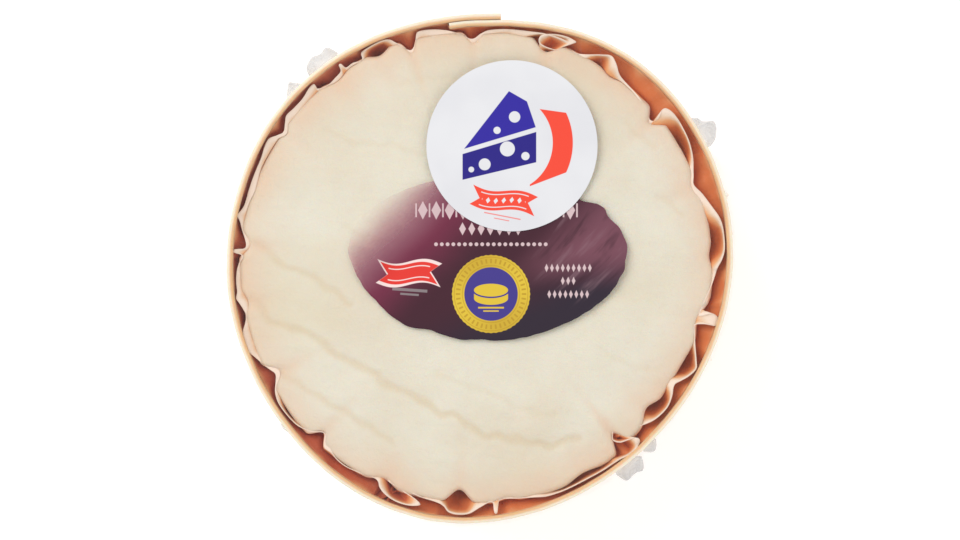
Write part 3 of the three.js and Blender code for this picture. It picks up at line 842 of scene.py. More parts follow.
def cup_mesh():
    path, walked, pleat = cup_lip()
    lip_radius = np.hypot(path[:, 0], path[:, 1])
    lip_angle = np.degrees(np.unwrap(np.arctan2(path[:, 1], path[:, 0])))
    # At the foot the paper runs steadily round, each pleat between the angles of its own ends.
    first_angles = [row[0][0] for row in LIP]
    foot_angle = np.interp(pleat, np.arange(len(LIP) + 1), [*first_angles, 360.0])
    out = np.clip((lip_radius - cheese_side(lip_angle)) / 2.0, 0, 1)
    lip_height = LIP_HEIGHT + LIP_FLARE * out + 0.25 * ripples(41, 9, path[:, 0], path[:, 1])
    open_loop = sum(
        depth * bump(turn_between(lip_angle, middle), half) for middle, half, depth in OPEN_LOOPS
    )
    neck_height = NECK_HEIGHT - open_loop + 0.15 * ripples(43, 12, path[:, 0], path[:, 1])
    neck_angle = 0.35 * foot_angle + 0.65 * lip_angle
    openness = np.clip(open_loop / 3, 0, 1)
    fold_height = FOLD_HEIGHT - 1.4 * openness + 0.35 * ripples(44, 6, path[:, 0], path[:, 1])
    fold_radius = hoop_inside(foot_angle) + PRESSED_IN
    trough_height = np.minimum(TROUGH_HEIGHT, neck_height - 0.9)
    trough_height = trough_height + 0.4 * ripples(46, 7, path[:, 0], path[:, 1])
    foot_radius = cheese_side(foot_angle) + 0.3 + 0.45 * np.sin(math.pi * pleat) ** 2
    foot_radius = np.minimum(foot_radius, hoop_inside(foot_angle) - 0.25)
    neck_radius = cheese_face(neck_angle, neck_height) + 0.1
    # Up the wall: angle, radius and height of the paper's main turns, and the rows up to the next.
    stations = (
        (foot_angle, foot_radius, FOOT_HEIGHT, 3),
        (foot_angle, foot_radius + 0.2, 12.0, 4),
        (foot_angle, foot_radius + 0.1, 25.0, 5),
        (foot_angle, fold_radius, fold_height, 5),
        (0.5 * (foot_angle + neck_angle), neck_radius + 0.3, trough_height, 3),
        (neck_angle, neck_radius, neck_height, 6),
        (lip_angle, lip_radius, lip_height, 0),
    )
    wall = []
    for (angle, radius, height, steps), following in zip(stations, stations[1:]):
        for share in np.arange(steps) / steps:
            if following is stations[-1]:
                ease = share ** (1.2 - 0.8 * openness)
            else:
                ease = share * share * (3 - 2 * share)
            level = height * (1 - share) + following[2] * share
            turn = angle * (1 - ease) + following[0] * ease
            spread = radius * (1 - ease) + following[1] * ease
            wall.append((turn, spread, level + 0 * turn))
    wall.append((lip_angle, lip_radius, lip_height))
    turn, spread, level = np.array(wall).transpose(1, 0, 2)
    buckle = 0.12 * ripples(42, 4, path[:, 0], path[:, 1], 0.7 * level)
    spread = spread + buckle * np.clip((34 - level) / 3, 0, 1)
    # Near its lip the paper may lie over the edge of the cheese.
    room = np.clip((level - 33.6) / 0.8, 0, 1) * 5
    nearest = cheese_face(turn, level) + PAPER / 2 - room
    spread = np.clip(spread, nearest, hoop_inside(turn) + PRESSED_IN)
    wall = np.stack([spread * cosine(turn), spread * sine(turn), level], -1)
    # The cup's floor: rings that close in from the foot of the wall to the middle.
    rings = []
    foot = wall[0]
    for inset, drop in FLOOR_RINGS:
        shrink = (foot_radius - inset) / foot_radius
        ring = foot * shrink[:, None]
        ring[:, 2] = FOOT_HEIGHT - drop
        rings.append(ring)
    rows = np.concatenate([np.array(rings[::-1]), wall])
    columns = rows.shape[1]
    faces = net_faces(len(rows), columns, close_columns=True)
    middle = len(rows) * columns
    faces += [[middle, (i + 1) % columns, i] for i in range(columns)]
    points = np.concatenate([rows.reshape(-1, 3), [[0, 0, FOOT_HEIGHT - FLOOR_RINGS[-1][1]]]])
    marks = np.zeros(rows.shape)
    marks[..., 0] = walked
    marks[..., 1] = rows[..., 2]
    marks[len(rings) :, :, 2] = lip_height - level
    # The fold against the hoop gets painted shade to its top.
    below_neck = sum(steps for *_, steps in stations[:5])
    marks[len(rings) : len(rings) + below_neck, :, 2] += FOLD_SHADE_DROP
    marks[: len(rings), :, 2] = LIP_HEIGHT
    marks = np.concatenate([marks.reshape(-1, 3), [[0, 0, LIP_HEIGHT]]])
    return points, faces, marks


PAPER_LIP = paint(247, 225, 206)
# The colours below are painted shade and bounced light; the first of them also tints the paper's
# fibres.
PAPER_FIBRE_AND_SHADE = paint(238, 212, 184)
PAPER_SHADE_AMBER = paint(238, 172, 116)
PAPER_SHADE_DEEP = paint(222, 124, 66)
PAPER_SHADE_RED = paint(192, 92, 64)


def paper_finish():
    paper = Finish("greaseproof cup paper", Roughness=0.5, Specular_IOR_Level=0.3)
    crease = paper.mark("pleat")
    _, _, below_lip = paper.parts(crease)
    x, _, _ = paper.parts(paper.place())
    # Painted shade: the further below the lip, the darker and warmer the paper, and redder on the
    # left.
    shade_wander = (paper.noise(crease, (5, 5, 5), detail=3) - 0.5) * 1.2
    depth = below_lip + shade_wander
    deep_shade = paper.blend(x.rise(10, -36) * 0.9, PAPER_SHADE_DEEP, PAPER_SHADE_RED)
    colour = paper.blend(depth.rise(0.15, 0.6), PAPER_LIP, PAPER_FIBRE_AND_SHADE)
    colour = paper.blend(depth.rise(0.3, 1.1), colour, PAPER_SHADE_AMBER)
    colour = paper.blend(depth.rise(0.7, 2.6), colour, deep_shade)
    fibre = paper.noise(crease, (0.5, 0.9, 0.5), detail=4, roughness=0.7)
    flutes = paper.noise(crease, (0.7, 30, 30), detail=2)
    colour = paper.blend(fibre.rise(0.55, 0.85) * 0.25, colour, PAPER_FIBRE_AND_SHADE)
    paper.set("Base Color", colour)
    paper.set("Roughness", 0.42 + fibre * 0.2)
    paper.relief((flutes - 0.5) * 0.1 + (fibre - 0.5) * 0.03)
    return paper.material


points, faces, marks = cup_mesh()
cup = make_piece(
    "pleated_cup", points, faces, paper_finish(), ["paper_cup"], {"pleat": marks}, 180
)
thickness = cup.modifiers.new("paper thickness", "SOLIDIFY")
thickness.thickness = PAPER * MM
thickness.offset = 0.0


# ---- The film ---------------------------------------------------------------------------------
# One square of thin clear stretch film, laid over the open box and drawn down the hoop and under
# its edge. Its four spare corners are folded into small crumpled ears that stand off the hoop.

FILM_TOP = 36.55
FILM_COLUMNS = 480
FILM_EDGE_RADIUS = 28.0
FILM_SLACK = 0.78  # between the hoop and the film, which passes over the staples
FILM_THICKNESS = 0.03
FILM_WALL_TOP = RIM - 0.35
FILM_WALL_FOOT = 0.9
FILM_FOOT_ROUND = 0.5
FILM_UNDERSIDE = 0.06
EAR_ANGLES = (31, 129, 219, 308)
EAR_HEIGHT = 12.0
# The folds of the ears as seen from above: angle and radius along the edge of each.
EAR_FOLDS = (
    ((35.3, 50.6), (34.6, 51.6), (33.6, 51.9), (32.9, 52.6), (32.1, 53.9), (30.9, 53.8),
     (29.6, 53.1), (28.6, 52.3), (27.9, 51)),
    ((131.6, 49.4), (131, 51.2), (129.8, 52), (128.2, 52.4), (127.2, 52.1), (126.2, 52),
     (125.2, 52.3), (124.2, 51.9), (123.2, 50.2)),
    ((138.8, 49.2), (137.8, 50.5), (136.6, 51.2), (135.6, 51.7), (134.9, 51), (133.6, 49.6)),
    ((222, 48.2), (220.4, 49.0), (218.6, 49.1), (216.8, 48.2)),
    ((310.9, 48.2), (310.2, 49.6), (309.1, 50.6), (307.8, 50.2), (306.4, 50.2), (305.5, 50.4),
     (304.6, 50.1), (303.7, 48.4)),
    ((315.9, 48), (315, 48.8), (313.9, 49.2), (312.9, 48.7), (312, 47.8)),
)
SEEN_FROM_ABOVE = 1.047  # an ear lies lower than the rim, so it stands out further than it looks


def outermost_smooth(angle):
    """The film spans the step where the outer ply ends."""
    return np.maximum.reduce([outermost_ply(angle + turn) for turn in (0, 0.8, 1.6, 2.4)])


def film_radius(angle, height):
    slack = FILM_SLACK * np.clip((RIM - height) / 4, 0, 1) ** 0.7
    return outermost_smooth(angle) + 0.12 + slack


def film_mesh():
    angle = np.arange(FILM_COLUMNS) * 360 / FILM_COLUMNS
    rim_radius = film_radius(angle, FILM_WALL_TOP)
    nearest_ear = np.min([abs(turn_between(angle, ear)) for ear in EAR_ANGLES], axis=0)
    pull = np.exp(-((nearest_ear / 16) ** 2))
    # The top, stretched flat, with fine fans of creases towards the ears.
    rows = []
    for share in np.linspace(0.012, 0.985, 44):
        radius = share * (rim_radius - 0.3)
        x, y = radius * cosine(angle), radius * sine(angle)
        fan = ripples(51, 5.5, x / max(share, 0.15), y / max(share, 0.15))
        wave = 0.05 * ripples(52, 21, x, y) + (0.015 + 0.05 * pull * share**3) * fan
        rows.append((radius, FILM_TOP + wave))
    # Over the rim and down the hoop, loose between its top and its foot.
    bend = RIM - FILM_WALL_TOP
    for turn in np.linspace(75, 0, 5):
        height = FILM_WALL_TOP + 0.02 + bend * sine(turn)
        rows.append((rim_radius - bend + bend * cosine(turn), height))
    x, y = 50 * cosine(angle), 50 * sine(angle)
    for height in np.linspace(FILM_WALL_TOP - 1.2, FILM_WALL_FOOT, 24):
        gather = 0.16 * ripples(53, 8, x, y, 0.25 * height)
        gather = gather + 0.3 * pull * ripples(54, 3.4, x, y, 0.5 * height)
        taut = np.clip((height - FILM_WALL_FOOT) / 6, 0, 1)
        taut = taut * np.clip((FILM_WALL_TOP - height) / 6, 0, 1)
        rows.append((film_radius(angle, height) + gather * taut, 0 * angle + height))
    # Under the foot of the hoop, and in to a ragged edge beneath the box.
    foot = film_radius(angle, 0)
    inner_foot = foot - FILM_FOOT_ROUND
    for turn in np.linspace(-15, -90, 5):
        height = FILM_UNDERSIDE + FILM_FOOT_ROUND * (1 + sine(turn))
        rows.append((inner_foot + FILM_FOOT_ROUND * cosine(turn), height))
    ragged = 1.6 * ripples(55, 22, 40 * cosine(angle), 40 * sine(angle))
    for share in np.linspace(0.08, 1, 9):
        edge = FILM_EDGE_RADIUS + ragged * share
        radius = inner_foot * (1 - share) + edge * share
        crumple = 0.07 * share * abs(ripples(56, 6, radius * cosine(angle), radius * sine(angle)))
        rows.append((radius, FILM_UNDERSIDE + crumple))
    net = [np.stack([r * cosine(angle), r * sine(angle), z + 0 * r], -1) for r, z in rows]
    net = np.array(net)
    faces = net_faces(len(net), FILM_COLUMNS, close_columns=True)
    middle = net.shape[0] * FILM_COLUMNS
    faces += [[middle, (i + 1) % FILM_COLUMNS, i] for i in range(FILM_COLUMNS)]
    points = np.concatenate([net.reshape(-1, 3), [[0, 0, FILM_TOP]]])
    return points, faces


EAR_ROWS = 25
EAR_HALF_HEIGHT = 8.5
EAR_GATHER = 0.16  # how narrow an ear is where it is pinched at its top
EAR_SPREAD = 0.5  # how much wider than that it is at its bottom


def ear_mesh(number, fold):
    """A gathered ear, with where it is and how far it stands out at each point, 0 to 1."""
    edge = smooth_line(fold, 6)
    angle, reach = edge[:, 0], edge[:, 1] * SEEN_FROM_ABOVE
    middle = angle.mean()
    tilt = 1.2 if number % 2 else -0.9
    rows = []
    for share in np.linspace(-1, 1, EAR_ROWS):
        out = 1 - abs(share) ** 1.5
        gathered = EAR_GATHER + EAR_SPREAD * max(share, 0)
        width = gathered + (1 - gathered) * out**0.8
        spread = middle + (angle - middle) * width + tilt * share
        root = film_radius(spread, EAR_HEIGHT) - 0.3
        pleat = 0.22 * out * np.sin((angle - middle) * 2.6 + number) * (1 - out**3)
        radius = root * (1 - out) + reach * out + pleat
        x, y = radius * cosine(spread), radius * sine(spread)
        height = EAR_HEIGHT - EAR_HALF_HEIGHT * share - 1.2 * out
        height = height + 0.5 * out * ripples(60 + number, 6, x, y)
        rows.append(np.stack([x, y, height, out + 0 * x], -1))
    rows = np.array(rows)
    return rows[..., :3], rows[..., 3], net_faces(EAR_ROWS, len(angle))


def clear_finish():
    film = Finish("clear stretch film", Roughness=0.12, IOR=1.45)
    where = film.place()
    ear, _, _ = film.parts(film.mark("ear"))
    _, _, up = film.parts(where)
    haze = film.noise(where, (16, 16, 16), detail=3)
    lines = film.noise(where, (0.7, 9, 9), detail=3, distortion=0.6)
    cross = film.noise(where, (9, 0.8, 9), detail=3, distortion=0.6)
    creases = lines.rise(0.62, 0.8).most(cross.rise(0.64, 0.82))
    milk = film.noise(where, (2.4, 2.4, 2.4), detail=3)
    wall = up.rise(35, 32)
    # Nearly clear on top, a little more to be seen down the hoop, and milky where it is folded.
    cover = 0.006 + haze * 0.016 + creases * (0.028 + wall * 0.16) + wall * 0.03
    cover = cover + ear * (0.28 + milk * 0.12)
    # The ears are painted grey: painted shade where they hang below the rim.
    film.set("Base Color", film.blend(ear, paint(246, 246, 248), paint(216, 218, 221)))
    film.set("Alpha", cover.least(0.9))
    film.set("Roughness", 0.08 + milk * 0.12)
    film.relief(creases * 0.05 + (milk - 0.5) * 0.08)
    return film.material


film_points, film_faces = film_mesh()
film_marks = np.zeros(film_points.shape)
for number, fold in enumerate(EAR_FOLDS):
    ear_points, ear_out, ear_faces = ear_mesh(number, fold)
    offset = len(film_points)
    film_faces += [[corner + offset for corner in face] for face in ear_faces]
    film_points = np.concatenate([film_points, ear_points.reshape(-1, 3)])
    shown = 0.12 + 0.88 * ear_out.reshape(-1, 1) ** 0.7
    film_marks = np.concatenate([film_marks, np.repeat(shown, 3, axis=1)])
film = make_piece(
    "stretch_film", film_points, film_faces, clear_finish(), ["film_wrap"],
    {"ear": film_marks}, 180,
)
thickness = film.modifiers.new("film thickness", "SOLIDIFY")
thickness.thickness = FILM_THICKNESS * MM
thickness.offset = 0.0


# ---- The oval print ---------------------------------------------------------------------------
# A thin adhesive label, printed in purple and left clear at its upper left, so that the colour
# seems to fade into the cheese. It has no wording: rows of small ornaments, a ribbon and a gold
# seal with a whole cheese on it are printed in its places.

LABEL_BASE = 36.62
LABEL_THICKNESS = 0.1
LABEL_MIDDLE = (1.7, 1.5)
LABEL_HALF = (27.0, 15.7)
# How the cut edge differs from a true oval: angle on the oval, and its size there.
LABEL_EDGE = (
    (0, 0.992), (11, 1.017), (20, 1.026), (28, 1.016), (35, 1.05), (41, 1.056), (48, 1.016),
    (80, 1.03), (116, 1.06), (137, 1.06), (152, 1.05), (164, 1.027), (174, 1.008), (185, 0.97),
    (198, 0.95), (211, 0.943), (224, 0.97), (233, 0.99), (238, 0.982), (244, 0.953), (254, 0.98),
    (261, 0.992), (267, 0.975), (275, 0.99), (288, 0.98), (301, 0.96), (313, 0.953),
    (323, 0.952), (333, 0.962), (346, 0.975), (360, 0.992),
)
TORN_ANGLE = 30  # the middle of the stretch where the edge is torn
LABEL_COLUMNS = 360
LABEL_ROWS = 22


def label_mesh(middle, edge_at, base, thickness, columns, rows, lift):
    """A thin label whose face follows lift; its rounded edge is one thickness tall."""
    angle = np.arange(columns) * 360 / columns
    edge_x, edge_y = edge_at(angle)
    sections = [(share, thickness) for share in np.linspace(0, 1, rows + 1)[1:-1]]
    sections += [(0.998, thickness), (1, thickness * 0.8), (1, thickness * 0.2), (0.998, 0)]
    sections += [(share, 0) for share in (0.9, 0.6, 0.3)]
    net = []
    for share, level in sections:
        x, y = middle[0] + edge_x * share, middle[1] + edge_y * share
        net.append(np.stack([x, y, base + level + lift(x, y)], -1))
    net = np.array(net)
    faces = net_faces(len(net), columns, close_columns=True)
    close_ends(faces, len(net), columns)
    centre = [middle[0], middle[1], base + float(lift(*middle))]
    ends = [[*centre[:2], centre[2] + thickness], centre]
    return np.concatenate([net.reshape(-1, 3), ends]), faces


def oval_edge(angle):
    size = np.interp(angle, *smooth_line(LABEL_EDGE, 6).T)
    torn = bump(turn_between(angle, TORN_ANGLE), 45)
    size = size + (0.003 + 0.008 * torn) * ripples(81, 3.5, 27 * cosine(angle), 16 * sine(angle))
    return LABEL_HALF[0] * size * cosine(angle), LABEL_HALF[1] * size * sine(angle)


def label_lift(x, y):
    return 0.03 * (1 + ripples(82, 14, x, y)) * 0.5


PRINT_MAUVE = paint(198, 136, 152)
PRINT_MAROON = paint(122, 50, 74)
PRINT_PURPLE = paint(72, 38, 50)
PRINT_DARK = paint(52, 42, 55)
PRINT_WINE = paint(128, 80, 94)
PRINT_SHADOW = paint(60, 34, 44)
PRINT_SHINE = paint(150, 116, 126)
PRINT_CREAM = paint(232, 206, 208)
RIBBON_RED = paint(232, 62, 54)
RIBBON_PALE = paint(250, 226, 222)
RIBBON_MIDDLE = (-13.6, -0.9)
GREY_LINE = paint(150, 140, 142)
GOLD = paint(228, 196, 64)
GOLD_DARK = paint(186, 146, 44)
SEAL_VIOLET = paint(72, 62, 142)
SEAL_MIDDLE = (2.33, -4.95)
SEAL_RADIUS = 7.56
SEAL_MIDDLE_RADIUS = 5.19
SEAL_FLUTES = 48
SEAL_TICKS = 44
SMALL_ROWS = ((0.1, 9), (-2.4, 3), (-5.0, 8))  # at the right: how high, and how many lozenges
SOFT = 0.06  # how soft the edge of the print is
RIBBON_WAVE = 0.3  # how far a ribbon waves, as a share of its half height
FADE_START, FADE_END = -23.5, -9.5  # where the print begins and where it is solid


def disc(x, y, radius, soft=SOFT):
    """1 inside a disc and 0 outside it."""
    distance = (x * x + y * y).step("SQRT")
    return distance.rise(radius + soft, radius - soft)


def oval(x, y, half_width, half_height):
    """1 on the line of an oval, less inside it and more outside."""
    return (x / half_width) * (x / half_width) + (y / half_height) * (y / half_height)


def block(x, y, half_width, half_height, soft=SOFT):
    """1 inside a rectangle and 0 outside it."""
    across = abs(x).rise(half_width + soft, half_width - soft)
    return across * abs(y).rise(half_height + soft, half_height - soft)


def turned(x, y, degrees):
    """The same place in axes turned counter-clockwise by this much."""
    c, s = math.cos(math.radians(degrees)), math.sin(math.radians(degrees))
    return x * c + y * s, y * c - x * s


def repeated(x, pitch):
    """x within the nearest of many copies, one every pitch."""
    return (x / pitch + 0.5).step("FRACT") * pitch - pitch / 2


def lozenge(x, y, half_width, half_height, soft=SOFT):
    """1 inside a diamond and 0 outside it."""
    reach = abs(x) / half_width + abs(y) / half_height
    return reach.rise(1 + soft / half_width, 1 - soft / half_width)


def ribbon(x, y, half_length, half_height):
    """A waving ribbon with a swallow tail cut into each end."""
    wave = (x * (math.pi / half_length)).step("SINE") * (half_height * RIBBON_WAVE)
    level = y - wave
    tail = half_length - (1 - abs(level) / half_height) * (half_height * 0.9)
    inside_end = (tail - abs(x)).rise(-SOFT, SOFT)
    return inside_end * abs(level).rise(half_height + SOFT, half_height - SOFT)


def row_of(x, y, middle, level, count, pitch, shape):
    """count copies of a shape in a row, whose middle is at middle and level."""
    shift = 0 if count % 2 else pitch / 2
    within = block(x - middle, y - level, count * pitch / 2, 9)
    return within * shape(repeated(x - middle + shift, pitch), y - level)


def print_finish():
    ink = Finish("oval print", Roughness=0.3, Specular_IOR_Level=0.25)
    where = ink.place()
    x, y, _ = ink.parts(where)
    clouds = ink.noise(where, (9, 9, 9), detail=3) - 0.5
    # The ground colour deepens along a line that runs down to the right.
    fade = (x - y) / math.sqrt(2) + clouds * 2.5
    sweep = x * 0.42 - y * 0.9 + clouds * 3
    colour = ink.blend(fade.rise(-20.5, -10), PRINT_MAUVE, PRINT_MAROON)
    colour = ink.blend(fade.rise(-13, -2), colour, PRINT_PURPLE)
    colour = ink.blend(sweep.rise(3, 14), colour, PRINT_DARK)
    colour = ink.blend(fade.rise(2, 12) * y.rise(-5, 4) * 0.9, colour, PRINT_WINE)
    # The print is stretched over creases in the film at its upper right: the lighter and darker
    # streaks along them are painted highlight and painted shade.
    slant, over = turned(x + y * y * 0.012, y, 46)
    stretched = ink.node("CombineXYZ", slant / 15, over / 2.4, 0.0).outputs[0]
    streaks = ink.noise(stretched, (1, 1, 1), detail=3, roughness=0.6, distortion=0.3)
    reach = ((x - 20) * (x - 20) / 150 + (y - 3) * (y - 3) / 190).step("SQRT")
    corner = reach.rise(1.0, 0.35)
    shine = streaks.rise(0.52, 0.74) * corner
    colour = ink.blend(shine * 0.55, colour, PRINT_SHINE)
    colour = ink.blend(streaks.rise(0.48, 0.3) * corner * 0.6, colour, PRINT_SHADOW)
    # Where wording would be: tall lozenges with bars between, smaller lozenges, and rows of beads.
    cream = row_of(x, y, 3.4, 11.3, 12, 2.6, lambda u, v: lozenge(u, v, 0.95, 1.8))
    cream = cream.most(row_of(x, y, 3.4, 11.3, 13, 2.6, lambda u, v: block(u, v, 0.16, 1.35)))
    cream = cream.most(row_of(x, y, 2.2, 7.7, 7, 1.8, lambda u, v: lozenge(u, v, 0.66, 1.25)))
    cream = cream.most(row_of(x, y, 2.3, 4.7, 20, 1.12, lambda u, v: disc(u, v, 0.36)))
    for level, count in SMALL_ROWS:
        shape = row_of(x, y, 17.3, level, count, 1.05, lambda u, v: lozenge(u, v, 0.36, 0.8))
        cream = cream.most(shape)
    colour = ink.blend(cream * 0.86, colour, PRINT_CREAM)
    # The ribbon, with a pale outline and a fine grey rule beneath.
    u, v = turned(x - RIBBON_MIDDLE[0], y - RIBBON_MIDDLE[1], -4)
    colour = ink.blend(ribbon(u, v, 6.3, 2.3), colour, RIBBON_PALE)
    colour = ink.blend(ribbon(u, v, 5.7, 1.85), colour, RIBBON_RED)
    trim = block(u, abs(v - (u * (math.pi / 5.7)).step("SINE") * 0.55) - 1.1, 4.0, 0.1)
    colour = ink.blend(trim, colour, RIBBON_PALE)
    rule = block(u - 0.4, v + 3.25, 3.4, 0.28).most(block(u - 0.4, v + 4.1, 1.8, 0.2))
    colour = ink.blend(rule * 0.8, colour, GREY_LINE)
    # The seal: a gold ring with ticks between two fine lines, and a violet middle with a cheese.
    u, v = x - SEAL_MIDDLE[0], y - SEAL_MIDDLE[1]
    out = (u * u + v * v).step("SQRT")
    round_turn = v.step("ARCTAN2", u)
    flutes = (round_turn * SEAL_FLUTES).step("COSINE")
    seal = (out - flutes * 0.04).rise(SEAL_RADIUS + SOFT, SEAL_RADIUS - SOFT)
    # A painted sheen: the gold is lighter and darker in turn round the ring.
    sheen = 0.75 + (round_turn * 2 + 0.8).step("SINE") * 0.25
    gold = ink.blend(sheen, GOLD_DARK, GOLD)
    colour = ink.blend(seal, colour, gold)
    tick = (round_turn * SEAL_TICKS).step("COSINE").rise(0.15, 0.6)
    tick = tick * abs(out - 6.4).rise(0.5, 0.36)
    rings = abs(out - 7.15).rise(0.13, 0.04).most(abs(out - 5.55).rise(0.13, 0.04))
    colour = ink.blend(seal * (tick * 0.75).most(rings * 0.6), colour, GOLD_DARK)
    inner = out.rise(SEAL_MIDDLE_RADIUS + SOFT, SEAL_MIDDLE_RADIUS - SOFT)
    colour = ink.blend(inner, colour, SEAL_VIOLET)
    # A whole cheese seen from the side, on two lines for a board.
    lid = oval(u, v - 0.75, 3.3, 1.25).rise(1.04, 0.96)
    foot = oval(u, v + 0.85, 3.3, 1.25).rise(1.04, 0.96)
    side = foot.most(block(u, v + 0.05, 3.3, 0.8))
    rim_line = oval(u, v - 0.75, 3.65, 1.55).rise(1.04, 0.97)
    emblem = (side * (1 - rim_line)).most(lid)
    board = block(u, v + 2.65, 2.5, 0.16).most(block(u, v + 3.3, 1.5, 0.13))
    colour = ink.blend(emblem.most(board), colour, GOLD)
    ink.set("Base Color", colour)
    solid = fade.rise(FADE_START, FADE_END)
    ink.set("Alpha", solid.most(cream * solid.rise(0.02, 0.25) * 0.9))
    ink.set("Roughness", 0.26 + streaks * 0.12 + shine * 0.1)
    ink.relief(clouds * 0.08 + shine * 0.06 + cream * 0.012 + seal * 0.02)
    return ink.material


points, faces = label_mesh(
    LABEL_MIDDLE, oval_edge, LABEL_BASE, LABEL_THICKNESS, LABEL_COLUMNS, LABEL_ROWS, label_lift
)
make_piece("oval_label", points, faces, print_finish(), ["label_print"])


# ---- The round sticker ------------------------------------------------------------------------
# A round white paper sticker, die-cut, and stuck on last, over the top of the oval print. A plain
# wedge of cheese, a red sash and a ribbon are printed on it.

STICKER_BASE = 36.8
STICKER_THICKNESS = 0.14
STICKER_MIDDLE = (6.4, 23.8)
STICKER_RADIUS = 16.6
STICKER_COLUMNS = 256
STICKER_ROWS = 14


def round_edge(angle):
    return STICKER_RADIUS * cosine(angle), STICKER_RADIUS * sine(angle)


def sticker_lift(x, y):
    return 0.012 * (1 + ripples(91, 20, x, y)) * 0.5


STICKER_WHITE = paint(234, 234, 237)
STICKER_SHADE = paint(228, 228, 232)
STICKER_BLUE = paint(44, 30, 160)
STICKER_DEEP_BLUE = paint(34, 22, 132)
STICKER_RED = paint(248, 74, 52)
WEDGE_TOP = [(-9.3, -0.6), (4.6, 3.6), (2.9, 8.6), (-0.6, 10.6)]
WEDGE_CUT = [(-9.6, -6.6), (4.7, -3.2), (4.7, 2.7), (-9.6, -1.6)]
HOLES = (  # where each is, and its radius
    (-5.3, -3.6, 1.15), (-0.9, -0.6, 1.45), (2.6, -2.0, 0.8), (-7.9, -4.6, 0.55),
    (0.5, 5.6, 1.1), (-2.9, 3.0, 0.7),
)
SASH_MIDDLE = (-1.7, 0.6)
SASH_INSIDE, SASH_OUTSIDE = 9.6, 13.5
BANNER_MIDDLE = (-1.6, -10.6)
BANNER_HALF = (6.4, 1.9)


def halfplane(x, y, x0, y0, x1, y1):
    """1 on the left of the line from the first point to the second."""
    length = math.hypot(x1 - x0, y1 - y0)
    side = (y - y0) * ((x1 - x0) / length) - (x - x0) * ((y1 - y0) / length)
    return side.rise(-SOFT, SOFT)


def inside_of(x, y, corners):
    """1 inside a flat shape with no hollow side, whose corners go round counter-clockwise."""
    shape = None
    for (x0, y0), (x1, y1) in zip(corners, corners[1:] + corners[:1]):
        side = halfplane(x, y, x0, y0, x1, y1)
        shape = side if shape is None else shape * side
    return shape


def sticker_finish():
    face = Finish("round sticker", Roughness=0.35, Specular_IOR_Level=0.45)
    where = face.place()
    x, y, _ = face.parts(where)
    x, y = x - STICKER_MIDDLE[0], y - STICKER_MIDDLE[1]
    pulp = face.noise(where, (0.5, 0.5, 0.5), detail=4)
    cloud = face.noise(where, (11, 11, 11), detail=2)
    colour = face.blend(cloud.rise(0.3, 0.7), STICKER_WHITE, STICKER_SHADE)
    # A wedge of cheese seen from the side: its top, and its cut face with holes.
    top = inside_of(x, y, WEDGE_TOP)
    wedge = top.most(inside_of(x, y, WEDGE_CUT))
    for east, north, radius in HOLES:
        wedge = wedge * (1 - disc(x - east, y - north, radius))
    ink_blue = face.blend(top, STICKER_DEEP_BLUE, STICKER_BLUE)
    colour = face.blend(wedge, colour, ink_blue)
    # A red sash that curves round the right of it.
    sash = disc(x - SASH_MIDDLE[0], y - SASH_MIDDLE[1], SASH_OUTSIDE)
    sash = sash * (1 - disc(x - SASH_MIDDLE[0], y - SASH_MIDDLE[1], SASH_INSIDE))
    sash = sash * halfplane(x, y, 2, -8.4, 12, -4.6) * halfplane(x, y, 12, 6.2, 2, 7.6)
    colour = face.blend(sash * x.rise(3.4, 3.52), colour, STICKER_RED)
    u, v = turned(x - BANNER_MIDDLE[0], y - BANNER_MIDDLE[1], -11)
    colour = face.blend(ribbon(u, v, *BANNER_HALF), colour, STICKER_RED)
    wave = (u * (math.pi / BANNER_HALF[0])).step("SINE") * (BANNER_HALF[1] * RIBBON_WAVE)
    colour = face.blend(block(u, abs(v - wave) - 1.25, 4.6, 0.09), colour, STICKER_WHITE)
    dots = block(u, v - wave, 4.2, 0.8) * lozenge(repeated(u, 1.5), v - wave, 0.42, 0.6)
    colour = face.blend(dots, colour, STICKER_WHITE)
    rule = block(u - 0.3, v + 3.0, 3.6, 0.12).most(block(u - 0.3, v + 3.7, 1.5, 0.1))
    colour = face.blend(rule * 0.7, colour, STICKER_RED)
    face.set("Base Color", colour)
    face.set("Roughness", 0.3 + pulp * 0.12)
    face.relief((pulp - 0.5) * 0.012 + wedge * 0.006)
    return face.material


points, faces = label_mesh(
    STICKER_MIDDLE, round_edge, STICKER_BASE, STICKER_THICKNESS, STICKER_COLUMNS, STICKER_ROWS,
    sticker_lift,
)
make_piece("white_sticker", points, faces, sticker_finish(), ["round_sticker"])


# ---- The table, the lights and the camera -----------------------------------------------------
# A plain white table, two wide soft lights over it and an even white surround. The table glows a
# little, so that it stays white right up to the box. The camera looks straight down on the middle.

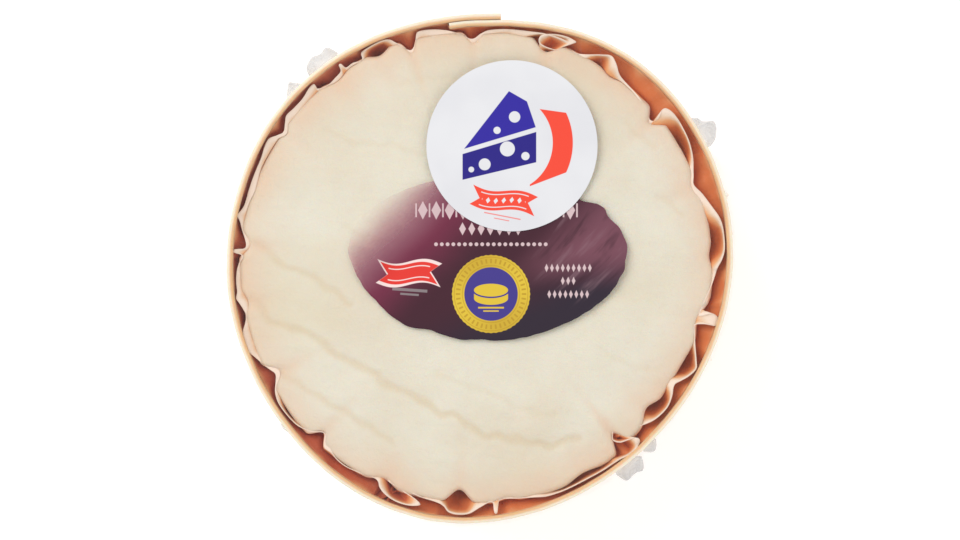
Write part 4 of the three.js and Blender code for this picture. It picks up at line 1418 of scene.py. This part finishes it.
TABLE_HALF = 3.0


def table_finish():
    white = Finish("white table", Roughness=0.9, Specular_IOR_Level=0.1)
    grain = white.noise(white.place(), (3, 3, 3), detail=3)
    white.set("Base Color", white.blend(grain, paint(240, 240, 240), paint(243, 243, 243)))
    white.set("Emission Color", (1, 1, 1, 1))
    white.set("Emission Strength", 0.38)
    return white.material


table_mesh = bpy.data.meshes.new("table")
table_turns = ((-1, -1), (1, -1), (1, 1), (-1, 1))
table_corners = [(east * TABLE_HALF, north * TABLE_HALF, 0) for east, north in table_turns]
table_mesh.from_pydata(table_corners, [], [(0, 1, 2, 3)])
table_mesh.materials.append(table_finish())
table = bpy.data.objects.new("table", table_mesh)
bpy.context.scene.collection.objects.link(table)


def soft_light(name, place, size, power):
    """A wide round lamp that faces the middle of the box."""
    lamp = bpy.data.lights.new(name, "AREA")
    lamp.shape = "DISK"
    lamp.size = size
    lamp.energy = power
    light = bpy.data.objects.new(name, lamp)
    light.location = place
    light.rotation_euler = Vector(place).to_track_quat("Z", "Y").to_euler()
    bpy.context.scene.collection.objects.link(light)


soft_light("window_light", (-0.7, 0.6, 0.9), 1.0, 8.5)
soft_light("fill_light", (0.9, -0.5, 0.9), 1.1, 4.5)

surround = bpy.data.worlds.new("white surround")
surround.use_nodes = True
surround.node_tree.nodes["Background"].inputs["Color"].default_value = (1, 1, 1, 1)
surround.node_tree.nodes["Background"].inputs["Strength"].default_value = 0.58
bpy.context.scene.world = surround

scene = bpy.context.scene
scene.view_settings.view_transform = "Standard"
scene.view_settings.look = "None"
scene.cycles.transparent_max_bounces = 24

CAMERA_DISTANCE = 0.5178  # above the rim
lens = bpy.data.cameras.new("camera")
lens.lens = 100.0
lens.sensor_width = 36.0
lens.clip_start = 0.01
camera = bpy.data.objects.new("camera", lens)
camera.location = (-0.0001, -0.00046, RIM * MM + CAMERA_DISTANCE)
camera.rotation_euler = (0, 0, 0)
scene.collection.objects.link(camera)
scene.camera = camera

bpy.context.view_layer.update()
